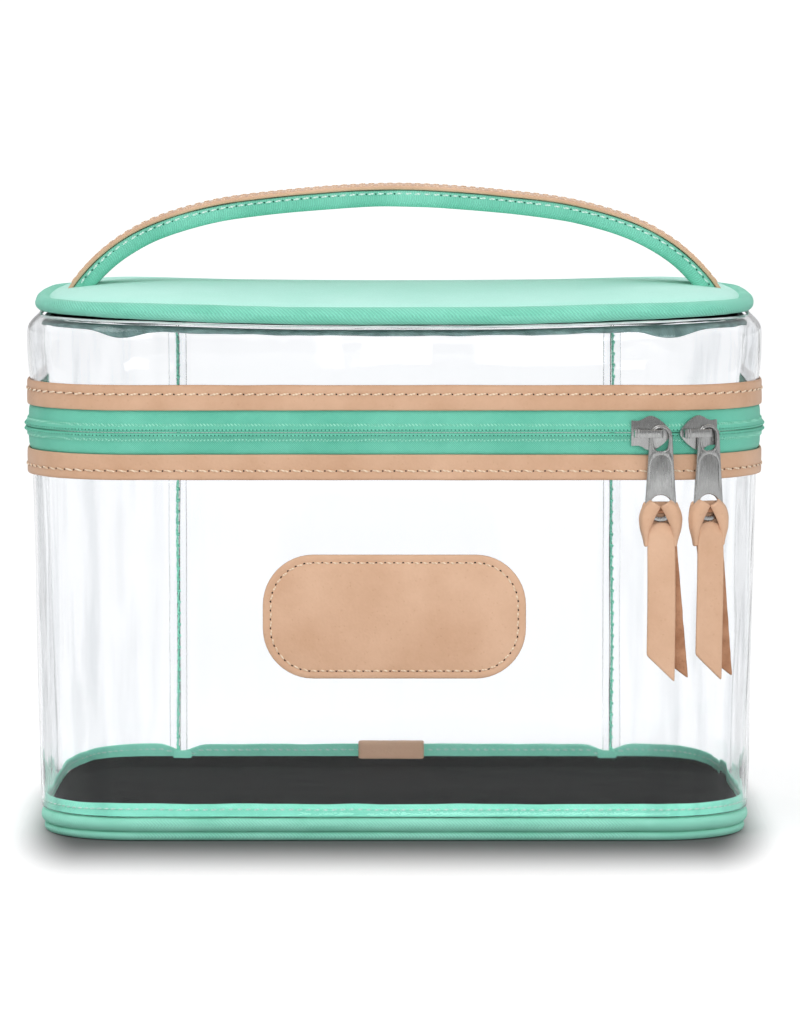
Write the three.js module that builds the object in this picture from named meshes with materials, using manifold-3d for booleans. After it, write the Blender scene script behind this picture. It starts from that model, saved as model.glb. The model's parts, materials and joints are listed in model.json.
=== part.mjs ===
// A clear makeup train case: a soft box of clear vinyl with a canvas base and lid, a zip that
// runs round the front and sides between two leather strips, and a carrying strap over the lid.
// Millimetres, +Z up, the case standing on z = 0 with its front facing -Y.
import * as THREE from "three";
import { mergeVertices } from "three/addons/utils/BufferGeometryUtils.js";
import Module from "manifold-3d";

const wasm = await Module();
wasm.setup();

// ---- driving dimensions -------------------------------------------------------------------
const caseWidth = 284; // over the leather strips
const caseDepth = 165;
const cornerRadius = 41; // in plan, at the strips' outer face
const seamHeight = 205; // top of the lid's piping
const lidDepth = 47.5; // from there down to the line where the two rows of coil meet
const wallTaper = 3.2; // how far each wall leans in from the zip down to the table
const arcSteps = 4; // half the facets in each rounded corner
const fit = 0.3; // gap between pieces that touch

const vinylThickness = 0.8;
const canvasThickness = 0.8;
const leatherThickness = 1.6;
const stripHeight = 9.9; // leather strips above and below the zip
const tapeShown = 8.3; // zip tape that shows on each side of the coil line
const tapeHidden = 6; // zip tape sewn in under each leather strip
const tapeBow = 3.7; // how far the closed zip bulges outwards
const coilGap = 0.8; // half the gap between the two rows of coil
const coilHeight = 2.6;
const coilThickness = 2.2;

const backPanelHalf = 88.5; // the back panel runs between seams at this distance from the middle
const zipStop = 0.2; // the zip and its strips stop this far before the back corners start
const seamStripWidth = 7;
const bindingHeight = 5.4;
const bindingThickness = 1.4;

const pipingWidth = 4.5; // base piping
const pipingHeight = 5.1;
const basePanelThickness = 3.7;
const baseEdgeInset = 3.4; // base panel's edge, in from the case outline
const basePipingInset = 2.5;
const floorBoardThickness = 2.8;
const floorLiningThickness = 2.5;

const lidPipingWidth = 6.5;
const lidPipingHeight = 6.8;
const lidPipingInset = 0.5;
const lidPanelThickness = 4.5;
const lidCrown = 3.4; // rise of the padded lid panel over its own edge
const lidCrownRun = 14; // distance over which it rises
const lidBoardThickness = 2.6;
const lidLiningThickness = 2;

const patchWidth = 100.5;
const patchHeight = 47.7;
const patchRadius = 19;
const patchThickness = 1.8;
const patchDrop = 70.5; // the patch's centre below the zip line

const strapRise = 38.7; // middle of the strap's core over the top of the lid's piping
const strapInset = 13.5; // the same line where it meets the lid, in from the strips' outer face
const strapWidth = 28;
const strapCore = 6.6;
const strapLeatherWidth = 26;
const strapPivotRadius = 16; // the leaning part starts this far from the lean axis
const strapPivotRise = 4.4; // lean axis over the top of the lid's piping

const pullInset = 3.5; // left slider's middle, from where the front right corner starts
const pullSpacing = 2.3; // between the two sliders' noses
const sliderLength = 15.2;
const sliderHeight = 13.4;
const sliderTail = 9.8; // height of the narrow end
const sliderTailLength = 3;
const sliderPlate = 1.4;
const sliderEdge = 0.3; // chamfer on metal edges
const sliderPlay = 0.4; // tape to front plate
const sliderWeb = 0.4; // half height of the web between the plates
const sliderWebLength = 3.5;
const sliderWebStart = 1.5; // towards the nose from the slider's middle
const bridgeBar = 3; // height of the bridge's bar
const bridgeThickness = 1.6;
const bridgeFoot = 1.6; // length of each foot
const bridgeInset = 0.9; // outer foot from the slider's end
const bridgeBend = 1; // radius of the bridge's two bends
const tabOffset = 3.6; // tab pivot from the slider's middle
const tabThickness = 1.4;
const tabPlay = 0.4;
const tabEyeRadius = 3;
const tabRim = 1.4;
const tabEyeDrop = 1.1; // eye's centre below the pivot
const tabEyeLength = 2.8;
const tabRingDrop = 27.6; // ring's centre below the pivot
const tabRingRadius = 6;
const tabRingHole = 4.2;

const knotHalfWidth = 8.1;
const knotTop = 2.6; // highest point over the ring's centre
const knotNotch = 3; // dip in the middle of the top
const knotShoulder = 6; // the broadest place, below the top
const knotTuck = 4; // height over which the knot narrows to the tails
const knotBottom = -13.6;
const knotEdge = 0.5; // softened edges
const knotFront = 2.5; // leather layers in front of the tab
const knotBack = 1.5; // and behind it
const tailWidth = 10.8;
const tailThickness = 1.7;
const tailEnd = -67.6; // below the ring's centre
const tailPoint = 10.5; // height of the slanted cut
const tailSpread = 5; // the rear tail's angle from the front one, in degrees

const jointTabWidth = 27;
const jointTabLow = 11.3;
const jointTabHigh = 17.7;
const jointTabCentre = -1.5;

const zipHeight = seamHeight - lidDepth;
const halfWidth = caseWidth / 2;
const halfDepth = caseDepth / 2;
const wallInset = leatherThickness + fit;
const tapeInset = wallInset + vinylThickness + fit;
const bindingInset = wallInset + vinylThickness + fit;
const far = caseWidth; // longer than anything that a cutting block has to pass

// ---- materials ----------------------------------------------------------------------------
const finish = (colour, roughness, metalness = 0, opacity = 1) =>
  new THREE.MeshStandardMaterial({
    color: colour,
    roughness,
    metalness,
    opacity,
    transparent: opacity < 1,
  });
const clearVinyl = finish(0xf2f5f7, 0.1, 0, 0.25);
const canvas = finish(0x7fdcc0, 0.65);
const tapeCloth = finish(0x63c7a8, 0.8);
const coilNylon = finish(0x86e0c6, 0.4);
const leather = finish(0xdcb08c, 0.55);
const liningCloth = finish(0x2b2b2b, 0.7);
const fibreBoard = finish(0x9a8f80, 0.9);
const nickel = finish(0xc4c4c4, 0.25, 1);

// ---- helpers ------------------------------------------------------------------------------
function solidOf(geometry) {
  const bare = geometry.clone();
  bare.deleteAttribute("normal");
  bare.deleteAttribute("uv");
  const merged = mergeVertices(bare, 1e-4);
  return new wasm.Manifold(
    new wasm.Mesh({
      numProp: 3,
      vertProperties: new Float32Array(merged.attributes.position.array),
      triVerts: new Uint32Array(merged.index.array),
    }),
  );
}

function geometryOf(solid) {
  const made = solid.getMesh();
  const geometry = new THREE.BufferGeometry();
  const points = new THREE.BufferAttribute(made.vertProperties, 3);
  geometry.setAttribute("position", points);
  geometry.setIndex(new THREE.BufferAttribute(made.triVerts, 1));
  geometry.computeVertexNormals();
  return geometry;
}

function mesh(name, shape, material) {
  const geometry = shape.isBufferGeometry ? shape : geometryOf(shape);
  const made = new THREE.Mesh(geometry, material);
  made.name = name;
  return made;
}

// A rounded rectangle, centred, as a Shape or as a Path for a hole.
function roundedRectangle(Kind, halfX, halfY, radius) {
  const turn = Math.PI / 2;
  const path = new Kind();
  path.moveTo(-halfX + radius, -halfY);
  path.lineTo(halfX - radius, -halfY);
  path.absarc(halfX - radius, -halfY + radius, radius, -turn, 0, false);
  path.absarc(halfX - radius, halfY - radius, radius, 0, turn, false);
  path.absarc(-halfX + radius, halfY - radius, radius, turn, 2 * turn, false);
  path.absarc(-halfX + radius, -halfY + radius, radius, 2 * turn, 3 * turn, false);
  path.closePath();
  return path;
}

// The case's plan outline, set in by some distance.
const outline = (inset, Kind = THREE.Shape) =>
  roundedRectangle(Kind, halfWidth - inset, halfDepth - inset, cornerRadius - inset);

// Moves the points of a geometry that follows the outline inwards, square to the outline, by
// insetAt(z).
function lean(geometry, insetAt) {
  const at = geometry.attributes.position;
  const centre = new THREE.Vector2(halfWidth - cornerRadius, halfDepth - cornerRadius);
  for (let i = 0; i < at.count; i++) {
    const x = at.getX(i);
    const y = at.getY(i);
    const outwards = new THREE.Vector2(
      Math.sign(x) * Math.max(Math.abs(x) - centre.x, 0),
      Math.sign(y) * Math.max(Math.abs(y) - centre.y, 0),
    ).normalize();
    const inset = insetAt(at.getZ(i));
    at.setX(i, x - outwards.x * inset);
    at.setY(i, y - outwards.y * inset);
  }
  return geometry;
}

// How far the walls lean in at a height over the table. They are plumb behind the zip tape.
const plumbFrom = zipHeight - tapeShown - tapeHidden;
const taperAt = (z) => (wallTaper * Math.max(plumbFrom - z, 0)) / plumbFrom;

function slab(shape, low, high, { steps = 1, bevel = 0, run = bevel, segments = 1 } = {}) {
  const geometry = new THREE.ExtrudeGeometry(shape, {
    depth: high - low - 2 * bevel,
    steps,
    curveSegments: arcSteps,
    bevelEnabled: bevel > 0,
    bevelThickness: bevel,
    bevelSize: run,
    bevelOffset: -run,
    bevelSegments: segments,
  });
  return geometry.translate(0, 0, low + bevel);
}

// A ring that follows the case's outline, from one inset to another and from low to high.
function ring(outer, inner, low, high, options) {
  const shape = outline(outer);
  shape.holes.push(outline(inner, THREE.Path));
  return slab(shape, low, high, options);
}

const block = (x0, x1, y0, y1, z0, z1) =>
  solidOf(
    new THREE.BoxGeometry(x1 - x0, y1 - y0, z1 - z0).translate(
      (x0 + x1) / 2,
      (y0 + y1) / 2,
      (z0 + z1) / 2,
    ),
  );

// The part of a ring that runs round the sides and front, up to the back seams.
const roundFront = (geometry) =>
  solidOf(geometry).subtract(
    block(-backPanelHalf - fit / 2, backPanelHalf + fit / 2, 0, far, -far, far),
  );

// The part of a ring that runs round the front and sides, up to the back corners.
const zipEnd = halfDepth - cornerRadius - zipStop;
const roundZip = (geometry) => solidOf(geometry).subtract(block(-far, far, zipEnd, far, -far, far));

// The part of a ring that goes on from there to the back seams.
const pastZip = (geometry) =>
  roundFront(geometry).subtract(block(-far, far, -far, zipEnd + fit, -far, far));

// The part of a ring between the back seams.
const acrossBack = (geometry) =>
  solidOf(geometry).intersect(
    block(-backPanelHalf + fit / 2, backPanelHalf - fit / 2, 0, far, -far, far),
  );

// The part of a ring within half a seam strip of one back seam.
const atSeam = (geometry, side) =>
  solidOf(geometry).intersect(
    block(
      side * backPanelHalf - seamStripWidth / 2,
      side * backPanelHalf + seamStripWidth / 2,
      0,
      far,
      -far,
      far,
    ),
  );

// ---- base ---------------------------------------------------------------------------------
const leaning = (geometry) => lean(geometry, taperAt);
const wallFoot = basePanelThickness + pipingHeight + fit;
const floorBoardLow = basePanelThickness + fit;
const floorLiningLow = floorBoardLow + floorBoardThickness + fit;
const floorInset = basePipingInset + pipingWidth + fit;
const bindingTop = wallFoot + bindingHeight;
const wallSteps = { steps: 3 };

function base() {
  const parts = new THREE.Group();
  const panel = slab(outline(baseEdgeInset), 0, basePanelThickness - fit, { bevel: 1.2 });
  parts.add(mesh("base_panel", leaning(panel), canvas));
  const piping = ring(
    basePipingInset,
    basePipingInset + pipingWidth,
    basePanelThickness,
    basePanelThickness + pipingHeight,
    { bevel: 1.7, segments: 2 },
  );
  parts.add(mesh("base_piping", leaning(piping), canvas));
  const board = slab(outline(floorInset), floorBoardLow, floorBoardLow + floorBoardThickness);
  parts.add(mesh("base_board", leaning(board), fibreBoard));
  const lining = slab(
    outline(floorInset),
    floorLiningLow,
    floorLiningLow + floorLiningThickness,
    { bevel: 0.6 },
  );
  parts.add(mesh("base_lining", leaning(lining), liningCloth));
  const binding = ring(bindingInset, bindingInset + bindingThickness, wallFoot, bindingTop);
  const gap = block(
    jointTabCentre - jointTabWidth / 2 - fit,
    jointTabCentre + jointTabWidth / 2 + fit,
    0,
    far,
    jointTabLow - fit,
    far,
  );
  parts.add(mesh("base_binding", solidOf(leaning(binding)).subtract(gap), canvas));
  parts.add(mesh("binding_joint_tab", jointTab(), leather));
  return parts;
}

// The leather tab folded over the binding where its two ends meet, at the back.
function jointTab() {
  const fold = ring(
    bindingInset,
    bindingInset + bindingThickness + 2 * leatherThickness,
    jointTabLow,
    jointTabHigh,
    { bevel: 0.5 },
  );
  const width = block(
    jointTabCentre - jointTabWidth / 2,
    jointTabCentre + jointTabWidth / 2,
    0,
    far,
    0,
    far,
  );
  return solidOf(leaning(fold)).intersect(width);
}

// ---- walls --------------------------------------------------------------------------------
const vinylEdge = tapeShown + fit; // the vinyl stops here on each side of the zip line
const tapeReach = tapeShown + tapeHidden; // and the zip tape here
const wallInner = wallInset + vinylThickness;
const wallTop = seamHeight - lidPipingHeight - fit;
const stripInset = wallInner + fit;

function lowerWalls() {
  const parts = new THREE.Group();
  const sheet = () => leaning(ring(wallInset, wallInner, wallFoot, zipHeight - vinylEdge, wallSteps));
  const corners = ring(wallInset, wallInner, zipHeight - vinylEdge, zipHeight - fit);
  parts.add(mesh("lower_wall", roundFront(sheet()).add(pastZip(corners)), clearVinyl));
  const back = leaning(ring(wallInset, wallInner, wallFoot, zipHeight - fit, wallSteps));
  parts.add(mesh("back_panel_lower", acrossBack(back), clearVinyl));
  const low = bindingTop + fit;
  const high = zipHeight - fit;
  for (const [side, name] of [[-1, "left"], [1, "right"]]) {
    const strip = ring(stripInset, stripInset + vinylThickness, low, high, wallSteps);
    const made = atSeam(leaning(strip), side);
    parts.add(mesh(`${name}_seam_strip_lower`, made, clearVinyl));
  }
  return parts;
}

function patch() {
  const patchCentre = zipHeight - patchDrop;
  const shape = roundedRectangle(THREE.Shape, patchWidth / 2, patchHeight / 2, patchRadius);
  const made = mesh("front_patch", slab(shape, 0, patchThickness, { bevel: 0.4 }), leather);
  const wallFace = -halfDepth + wallInset + taperAt(patchCentre);
  made.position.set(0, wallFace - fit, patchCentre);
  made.rotation.x = Math.PI / 2 + Math.atan2(wallTaper, plumbFrom);
  return made;
}

// ---- zip ----------------------------------------------------------------------------------
// The closed zip stands proud of the leather strips, most of all along the coil.
function bowAt(distance) {
  const share = Math.min(Math.abs(distance) / tapeShown, 1);
  return -tapeBow * Math.cos((share * Math.PI) / 2) ** 2;
}

// One half of the zip and its leather strip, side +1 above the line and -1 below it.
function zipHalf(side, prefix) {
  const parts = new THREE.Group();
  const span = (near, distant) => (side > 0 ? [near, distant] : [-distant, -near]);
  const bowed = (geometry) => lean(geometry, bowAt);
  const tapeInner = tapeInset + canvasThickness;
  const shown = ring(tapeInset, tapeInner, ...span(coilGap, tapeShown), { steps: 3 });
  const hidden = ring(tapeInset, tapeInner, ...span(tapeShown - fit, tapeReach));
  const tape = roundZip(bowed(shown)).add(roundZip(hidden));
  parts.add(mesh(`${prefix}_zip_tape`, tape, tapeCloth));
  const coil = ring(
    tapeInner + fit,
    tapeInner + fit + coilThickness,
    ...span(coilGap, coilGap + coilHeight),
  );
  parts.add(mesh(`${prefix}_zip_coil`, roundZip(bowed(coil)), coilNylon));
  const stripSpan = span(tapeShown, tapeShown + stripHeight);
  const strip = ring(0, leatherThickness, ...stripSpan, { bevel: 0.4 });
  parts.add(mesh(`${prefix}_leather_strip`, roundZip(strip), leather));
  return parts;
}

// ---- lid ----------------------------------------------------------------------------------
// Heights in the lid's own group are over the zip line.
const overZip = (z) => z - zipHeight;
const lidInside = lidPipingInset + lidPipingWidth + fit;
const lidPanelLow = seamHeight - lidPanelThickness;
const lidBoardLow = lidPanelLow - fit - lidBoardThickness;
const lidLiningLow = lidBoardLow - fit - lidLiningThickness;

// The padded panel: a plain slab, and a lens on it whose upper half is the dome.
function lidPanelSolid() {
  const plain = slab(outline(lidInside), lidPanelLow, seamHeight);
  const lens = slab(outline(lidInside), seamHeight - lidCrown - fit, seamHeight + lidCrown, {
    bevel: lidCrown,
    run: lidCrownRun,
    segments: 4,
  });
  return solidOf(plain).add(solidOf(lens));
}

function lidTop() {
  const parts = new THREE.Group();
  const down = (geometry) => geometry.translate(0, 0, -zipHeight);
  parts.add(mesh("lid_panel", lidPanelSolid().translate([0, 0, -zipHeight]), canvas));
  const piping = ring(
    lidPipingInset,
    lidPipingInset + lidPipingWidth,
    seamHeight - lidPipingHeight,
    seamHeight,
    { bevel: 2.2, segments: 2 },
  );
  parts.add(mesh("lid_piping", down(piping), canvas));
  const board = slab(outline(lidInside), lidBoardLow, lidBoardLow + lidBoardThickness);
  parts.add(mesh("lid_board", down(board), fibreBoard));
  const lining = slab(outline(lidInside), lidLiningLow, lidLiningLow + lidLiningThickness);
  parts.add(mesh("lid_lining", down(lining), liningCloth));
  const binding = ring(bindingInset, bindingInset + bindingThickness, wallTop - bindingHeight, wallTop);
  parts.add(mesh("lid_binding", down(binding), canvas));
  return parts;
}

function upperWalls() {
  const parts = new THREE.Group();
  const top = overZip(wallTop);
  const wall = ring(wallInset, wallInner, vinylEdge, top);
  const corners = ring(wallInset, wallInner, fit, vinylEdge);
  parts.add(mesh("upper_wall", roundFront(wall).add(pastZip(corners)), clearVinyl));
  const back = ring(wallInset, wallInner, fit, top);
  parts.add(mesh("back_panel_upper", acrossBack(back), clearVinyl));
  const stripTop = top - bindingHeight - fit;
  for (const [side, name] of [[-1, "left"], [1, "right"]]) {
    const strip = ring(stripInset, stripInset + vinylThickness, fit, stripTop);
    parts.add(mesh(`${name}_seam_strip_upper`, atSeam(strip, side), clearVinyl));
  }
  return parts;
}

// ---- carrying strap -----------------------------------------------------------------------
// The strap leans about an axis along X, just over the lid. Its two ends stay with the lid:
// each is parted from the strap on a cylinder round that axis, so the two faces slide past
// each other. Heights in these groups are over the top of the lid's piping.
const strapReach = halfWidth - strapInset;

// The strap's middle line from its crown to one end, as shares of its reach and its rise.
const strapHalfLine = [
  [0, 1],
  [0.38, 0.95],
  [0.56, 0.875],
  [0.735, 0.72],
  [0.85, 0.545],
  [0.93, 0.277],
  [0.985, 0.04],
  [1.02, -0.13],
];
const strapLine = new THREE.CatmullRomCurve3(
  [...strapHalfLine.slice(1).map(([x, z]) => [-x, z]).reverse(), ...strapHalfLine].map(
    ([x, z]) => new THREE.Vector3(x * strapReach, 0, z * strapRise),
  ),
);

// A flat band along the strap, from one depth to another, counted inwards from the line.
function strapBand(width, outerFace, innerFace) {
  const thickness = innerFace - outerFace;
  const edge = Math.min(2.2, thickness / 2.4);
  const section = roundedRectangle(THREE.Shape, width / 2, thickness / 2, edge);
  const points = section.getPoints(1).map((p) => p.setY(p.y + (innerFace + outerFace) / 2));
  const band = new THREE.ExtrudeGeometry(new THREE.Shape(points), {
    steps: 36,
    extrudePath: strapLine,
  });
  return solidOf(band);
}

const leanCylinder = (radius) =>
  solidOf(
    new THREE.CylinderGeometry(radius, radius, 2 * far, 32)
      .rotateZ(Math.PI / 2)
      .translate(0, 0, strapPivotRise),
  );

function strap() {
  const core = strapBand(strapWidth, -strapCore / 2, strapCore / 2);
  const leatherFace = -strapCore / 2 - fit;
  const cover = strapBand(strapLeatherWidth, leatherFace - leatherThickness, leatherFace);
  const outside = leanCylinder(strapPivotRadius + fit / 2);
  const inside = leanCylinder(strapPivotRadius - fit / 2);
  const lidUnder = lidPanelSolid()
    .translate([0, 0, fit - seamHeight])
    .add(block(-far, far, -far, far, -far, fit));
  const group = new THREE.Group();
  group.position.z = overZip(seamHeight);
  const below = block(-far, far, -far, far, -far, strapPivotRise);
  const free = (band) => band.subtract(outside).subtract(below);
  group.add(mesh("strap_core", free(core), canvas));
  group.add(mesh("strap_leather", free(cover), leather));
  for (const [side, name] of [[-1, "left"], [1, "right"]]) {
    const near = Math.min(0, side * far);
    const half = block(near, near + far, -far, far, -far, far);
    const keep = (band) => band.intersect(inside).intersect(half).subtract(lidUnder);
    group.add(mesh(`${name}_strap_end`, keep(core), canvas));
    group.add(mesh(`${name}_strap_end_leather`, keep(cover), leather));
  }
  return group;
}

// ---- zip pulls ----------------------------------------------------------------------------
// Local frame: x along the zip, -y out of the case, origin on the case outline at the zip line.
const zipFront = tapeBow - tapeInset; // how far the closed zip stands out of the case outline
const frontPlateOuter = zipFront + sliderPlay + sliderPlate;
const coilBack =
  tapeInset + canvasThickness + fit + coilThickness + bowAt(coilGap + coilHeight);
const coilBend = cornerRadius - coilBack; // inner radius of the coil round a corner
const cornerSag = coilBend - Math.sqrt(coilBend ** 2 - (sliderLength / 2) ** 2);
const backPlateInset = coilBack + cornerSag + sliderPlay; // clears the coil round a corner too
const tabCentre = frontPlateOuter + tabPlay + tabThickness / 2;
const bridgeInner = tabCentre + tabThickness / 2 + tabPlay;

// Turns a shape drawn in x and z, extruded from y = from to y = to (outwards is negative).
function upright(shape, from, to, bevel = 0) {
  const geometry = new THREE.ExtrudeGeometry(shape, {
    depth: Math.abs(to - from) - 2 * bevel,
    curveSegments: 4,
    bevelEnabled: bevel > 0,
    bevelThickness: bevel,
    bevelSize: bevel,
    bevelOffset: -bevel,
    bevelSegments: 1,
  });
  geometry.translate(0, 0, bevel).rotateX(Math.PI / 2);
  return solidOf(geometry.translate(0, Math.max(from, to), 0));
}

// The slider's outline: a broad nose where the rows part and a narrow, square tail.
// nose is +1 or -1, the way that the nose faces along x.
function sliderShape(nose) {
  const tip = (nose * sliderLength) / 2;
  const neck = -tip + nose * sliderTailLength;
  const shoulder = tip / 3;
  const tailHalf = sliderTail / 2;
  const noseHalf = sliderHeight / 2;
  const shape = new THREE.Shape();
  shape.moveTo(-tip, -tailHalf);
  shape.lineTo(neck, -tailHalf);
  shape.quadraticCurveTo((neck + shoulder) / 2, -tailHalf, shoulder / 2, -noseHalf);
  shape.quadraticCurveTo(tip, -noseHalf, tip, 0);
  shape.quadraticCurveTo(tip, noseHalf, shoulder / 2, noseHalf);
  shape.quadraticCurveTo((neck + shoulder) / 2, tailHalf, neck, tailHalf);
  shape.lineTo(-tip, tailHalf);
  shape.closePath();
  return shape;
}

// Two plates with the zip between them, a web that parts the rows of coil, and the bridge.
function sliderBody(nose) {
  const plate = (face) => upright(sliderShape(nose), face, face + sliderPlate, sliderEdge);
  const webEnds = [nose * sliderWebStart, nose * (sliderWebStart + sliderWebLength)];
  const web = block(
    Math.min(...webEnds),
    Math.max(...webEnds),
    sliderPlate / 2 - frontPlateOuter,
    backPlateInset + sliderPlate / 2,
    -sliderWeb,
    sliderWeb,
  );
  return plate(-frontPlateOuter).add(plate(backPlateInset)).add(web).add(bridge());
}

// A staple along x, drawn from above: the tab's eye goes round its right-hand foot.
function bridge() {
  const left = bridgeInset - sliderLength / 2;
  const right = tabOffset + bridgeFoot / 2;
  const outer = -bridgeInner - bridgeThickness;
  const root = sliderPlate / 2 - frontPlateOuter;
  const shape = new THREE.Shape();
  shape.moveTo(left, root);
  shape.lineTo(left, outer + bridgeBend);
  shape.quadraticCurveTo(left, outer, left + bridgeBend, outer);
  shape.lineTo(right - bridgeBend, outer);
  shape.quadraticCurveTo(right, outer, right, outer + bridgeBend);
  shape.lineTo(right, root);
  shape.lineTo(right - bridgeFoot, root);
  shape.lineTo(right - bridgeFoot, -bridgeInner);
  shape.lineTo(left + bridgeFoot, -bridgeInner);
  shape.lineTo(left + bridgeFoot, root);
  shape.closePath();
  return solidOf(slab(shape, -bridgeBar / 2, bridgeBar / 2, { bevel: sliderEdge }));
}

// Local frame: origin at the pivot, the tab hanging down -z.
function tab() {
  const top = tabEyeRadius + tabRim;
  const shape = new THREE.Shape();
  shape.absarc(0, -tabEyeDrop, top, 0, Math.PI, false);
  shape.absarc(0, -tabRingDrop, tabRingRadius, Math.PI, 2 * Math.PI, false);
  shape.closePath();
  const eye = new THREE.Path();
  eye.absarc(0, -tabEyeDrop, tabEyeRadius, 0, Math.PI, false);
  eye.absarc(0, -tabEyeDrop - tabEyeLength, tabEyeRadius, Math.PI, 2 * Math.PI, false);
  eye.closePath();
  const hole = new THREE.Path();
  hole.absarc(0, -tabRingDrop, tabRingHole, 0, 2 * Math.PI, false);
  shape.holes.push(eye, hole);
  return upright(shape, -tabThickness / 2, tabThickness / 2, sliderEdge);
}

// Local frame: origin at the ring's centre. One strip of leather: its knot goes through the
// tab's ring and wraps it in front and behind, and its two tails hang down.
function tassel() {
  const reach = tabThickness / 2 + fit;
  const front = upright(knotShape(), -reach - knotFront, -reach, knotEdge);
  const back = upright(knotShape(), reach, reach + knotBack, knotEdge);
  const joined = block(
    -tailWidth / 2,
    tailWidth / 2,
    -reach - knotFront / 2,
    reach + knotBack / 2,
    knotBottom + knotEdge,
    -tabRingRadius - 2 * fit,
  );
  const through = new THREE.Shape();
  through.absarc(0, 0, tabRingHole - fit, Math.PI * 1.15, Math.PI * 1.85, false);
  through.closePath();
  const loop = upright(through, -reach - knotFront / 2, reach + knotBack / 2);
  const lead = tail().translate([0, -reach - knotFront / 2, 0]);
  const rear = tail().rotate([0, -tailSpread, 0]).translate([0, reach - tailThickness / 2, 0]);
  return front.add(back).add(joined).add(loop).add(lead).add(rear);
}

// The knot's outline: two round shoulders over a waist as wide as the tails.
function knotShape() {
  const shape = new THREE.Shape();
  const shoulder = knotTop - knotShoulder;
  const waist = knotBottom + knotTuck;
  shape.moveTo(0, knotTop - knotNotch);
  shape.quadraticCurveTo(knotHalfWidth / 2, knotTop + knotNotch / 3, knotHalfWidth, shoulder);
  shape.quadraticCurveTo(knotHalfWidth, waist, tailWidth / 2, knotBottom);
  shape.lineTo(-tailWidth / 2, knotBottom);
  shape.quadraticCurveTo(-knotHalfWidth, waist, -knotHalfWidth, shoulder);
  shape.quadraticCurveTo(-knotHalfWidth / 2, knotTop + knotNotch / 3, 0, knotTop - knotNotch);
  return shape;
}

// One tail, hanging straight, cut to a slanted point.
function tail() {
  const top = knotBottom + knotTuck;
  const shape = new THREE.Shape();
  shape.moveTo(-tailWidth / 2, top);
  shape.lineTo(-tailWidth / 2, tailEnd + tailPoint);
  shape.lineTo(tailWidth / 2, tailEnd);
  shape.lineTo(tailWidth / 2, top);
  shape.closePath();
  return upright(shape, -tailThickness / 2, tailThickness / 2);
}

// nose says which way the slider's broad end faces along the zip.
function pull(name, nose) {
  const parts = new THREE.Group();
  parts.add(mesh(`${name}_slider`, sliderBody(nose), nickel));
  const tabMesh = mesh(`${name}_pull_tab`, tab(), nickel);
  tabMesh.position.set(tabOffset, -tabCentre, 0);
  parts.add(tabMesh);
  const tasselMesh = mesh(`${name}_tassel`, tassel(), leather);
  tasselMesh.position.set(tabOffset, -tabCentre, -tabRingDrop);
  parts.add(tasselMesh);
  return parts;
}

// ---- assembly -----------------------------------------------------------------------------
const trainCase = new THREE.Group();

const lowerZip = zipHalf(-1, "lower");
lowerZip.position.z = zipHeight;
trainCase.add(base(), lowerWalls(), patch(), lowerZip);

const lid = new THREE.Group();
lid.position.z = zipHeight;
lid.add(zipHalf(1, "upper"), upperWalls(), lidTop(), strap());
trainCase.add(lid);

const cornerStart = halfWidth - cornerRadius;
const leftPull = pull("left", 1);
leftPull.position.set(cornerStart - pullInset, -halfDepth, zipHeight);
const rightPull = pull("right", -1);
const turn = (sliderLength + pullSpacing - pullInset) / cornerRadius;
rightPull.position.set(
  cornerStart + cornerRadius * Math.sin(turn),
  -halfDepth + cornerRadius * (1 - Math.cos(turn)),
  zipHeight,
);
rightPull.rotation.z = turn;
trainCase.add(leftPull, rightPull);

export default trainCase;
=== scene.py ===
# A clear makeup train case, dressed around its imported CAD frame.
# Modelled in millimetres and scaled to metres as each piece is finished.
import json
import math
import bmesh
import bpy
from mathutils import Matrix, Vector, noise


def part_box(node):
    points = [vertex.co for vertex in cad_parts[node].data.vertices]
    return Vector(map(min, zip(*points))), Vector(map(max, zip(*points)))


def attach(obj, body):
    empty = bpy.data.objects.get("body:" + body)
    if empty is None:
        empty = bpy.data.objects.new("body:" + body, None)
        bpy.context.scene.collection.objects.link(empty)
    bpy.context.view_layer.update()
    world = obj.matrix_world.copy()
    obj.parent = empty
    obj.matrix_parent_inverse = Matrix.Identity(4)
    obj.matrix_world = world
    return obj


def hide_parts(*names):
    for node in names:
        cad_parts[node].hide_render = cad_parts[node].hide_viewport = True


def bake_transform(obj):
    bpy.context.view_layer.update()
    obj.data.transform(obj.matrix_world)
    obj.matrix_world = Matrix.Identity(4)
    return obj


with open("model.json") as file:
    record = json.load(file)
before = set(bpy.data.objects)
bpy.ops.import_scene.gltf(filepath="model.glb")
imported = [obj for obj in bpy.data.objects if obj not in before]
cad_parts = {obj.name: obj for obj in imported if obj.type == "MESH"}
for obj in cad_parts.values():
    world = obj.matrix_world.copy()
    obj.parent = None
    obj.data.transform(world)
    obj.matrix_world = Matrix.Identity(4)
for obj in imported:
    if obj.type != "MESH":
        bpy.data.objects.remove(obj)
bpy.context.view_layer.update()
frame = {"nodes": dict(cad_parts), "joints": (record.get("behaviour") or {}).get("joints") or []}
print("frame loaded")

mm = 0.001
scene = bpy.context.scene
joints = {joint["name"]: joint for joint in frame["joints"]}

# the case's plan outline, read from the frame
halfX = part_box("lower_leather_strip")[1].x / mm
halfY = -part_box("lower_leather_strip")[0].y / mm
zipZ = joints["lid_hinge"]["pos_m"][2] / mm
cornerX = joints["right_slider_travel"]["pos_m"][0] / mm  # centre of each rounded corner
corner = halfX - cornerX
cornerY = halfY - corner
quarter = corner * math.pi / 2
halfRound = 2 * cornerX + 2 * quarter + 2 * cornerY  # half way round, front middle to back middle

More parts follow.
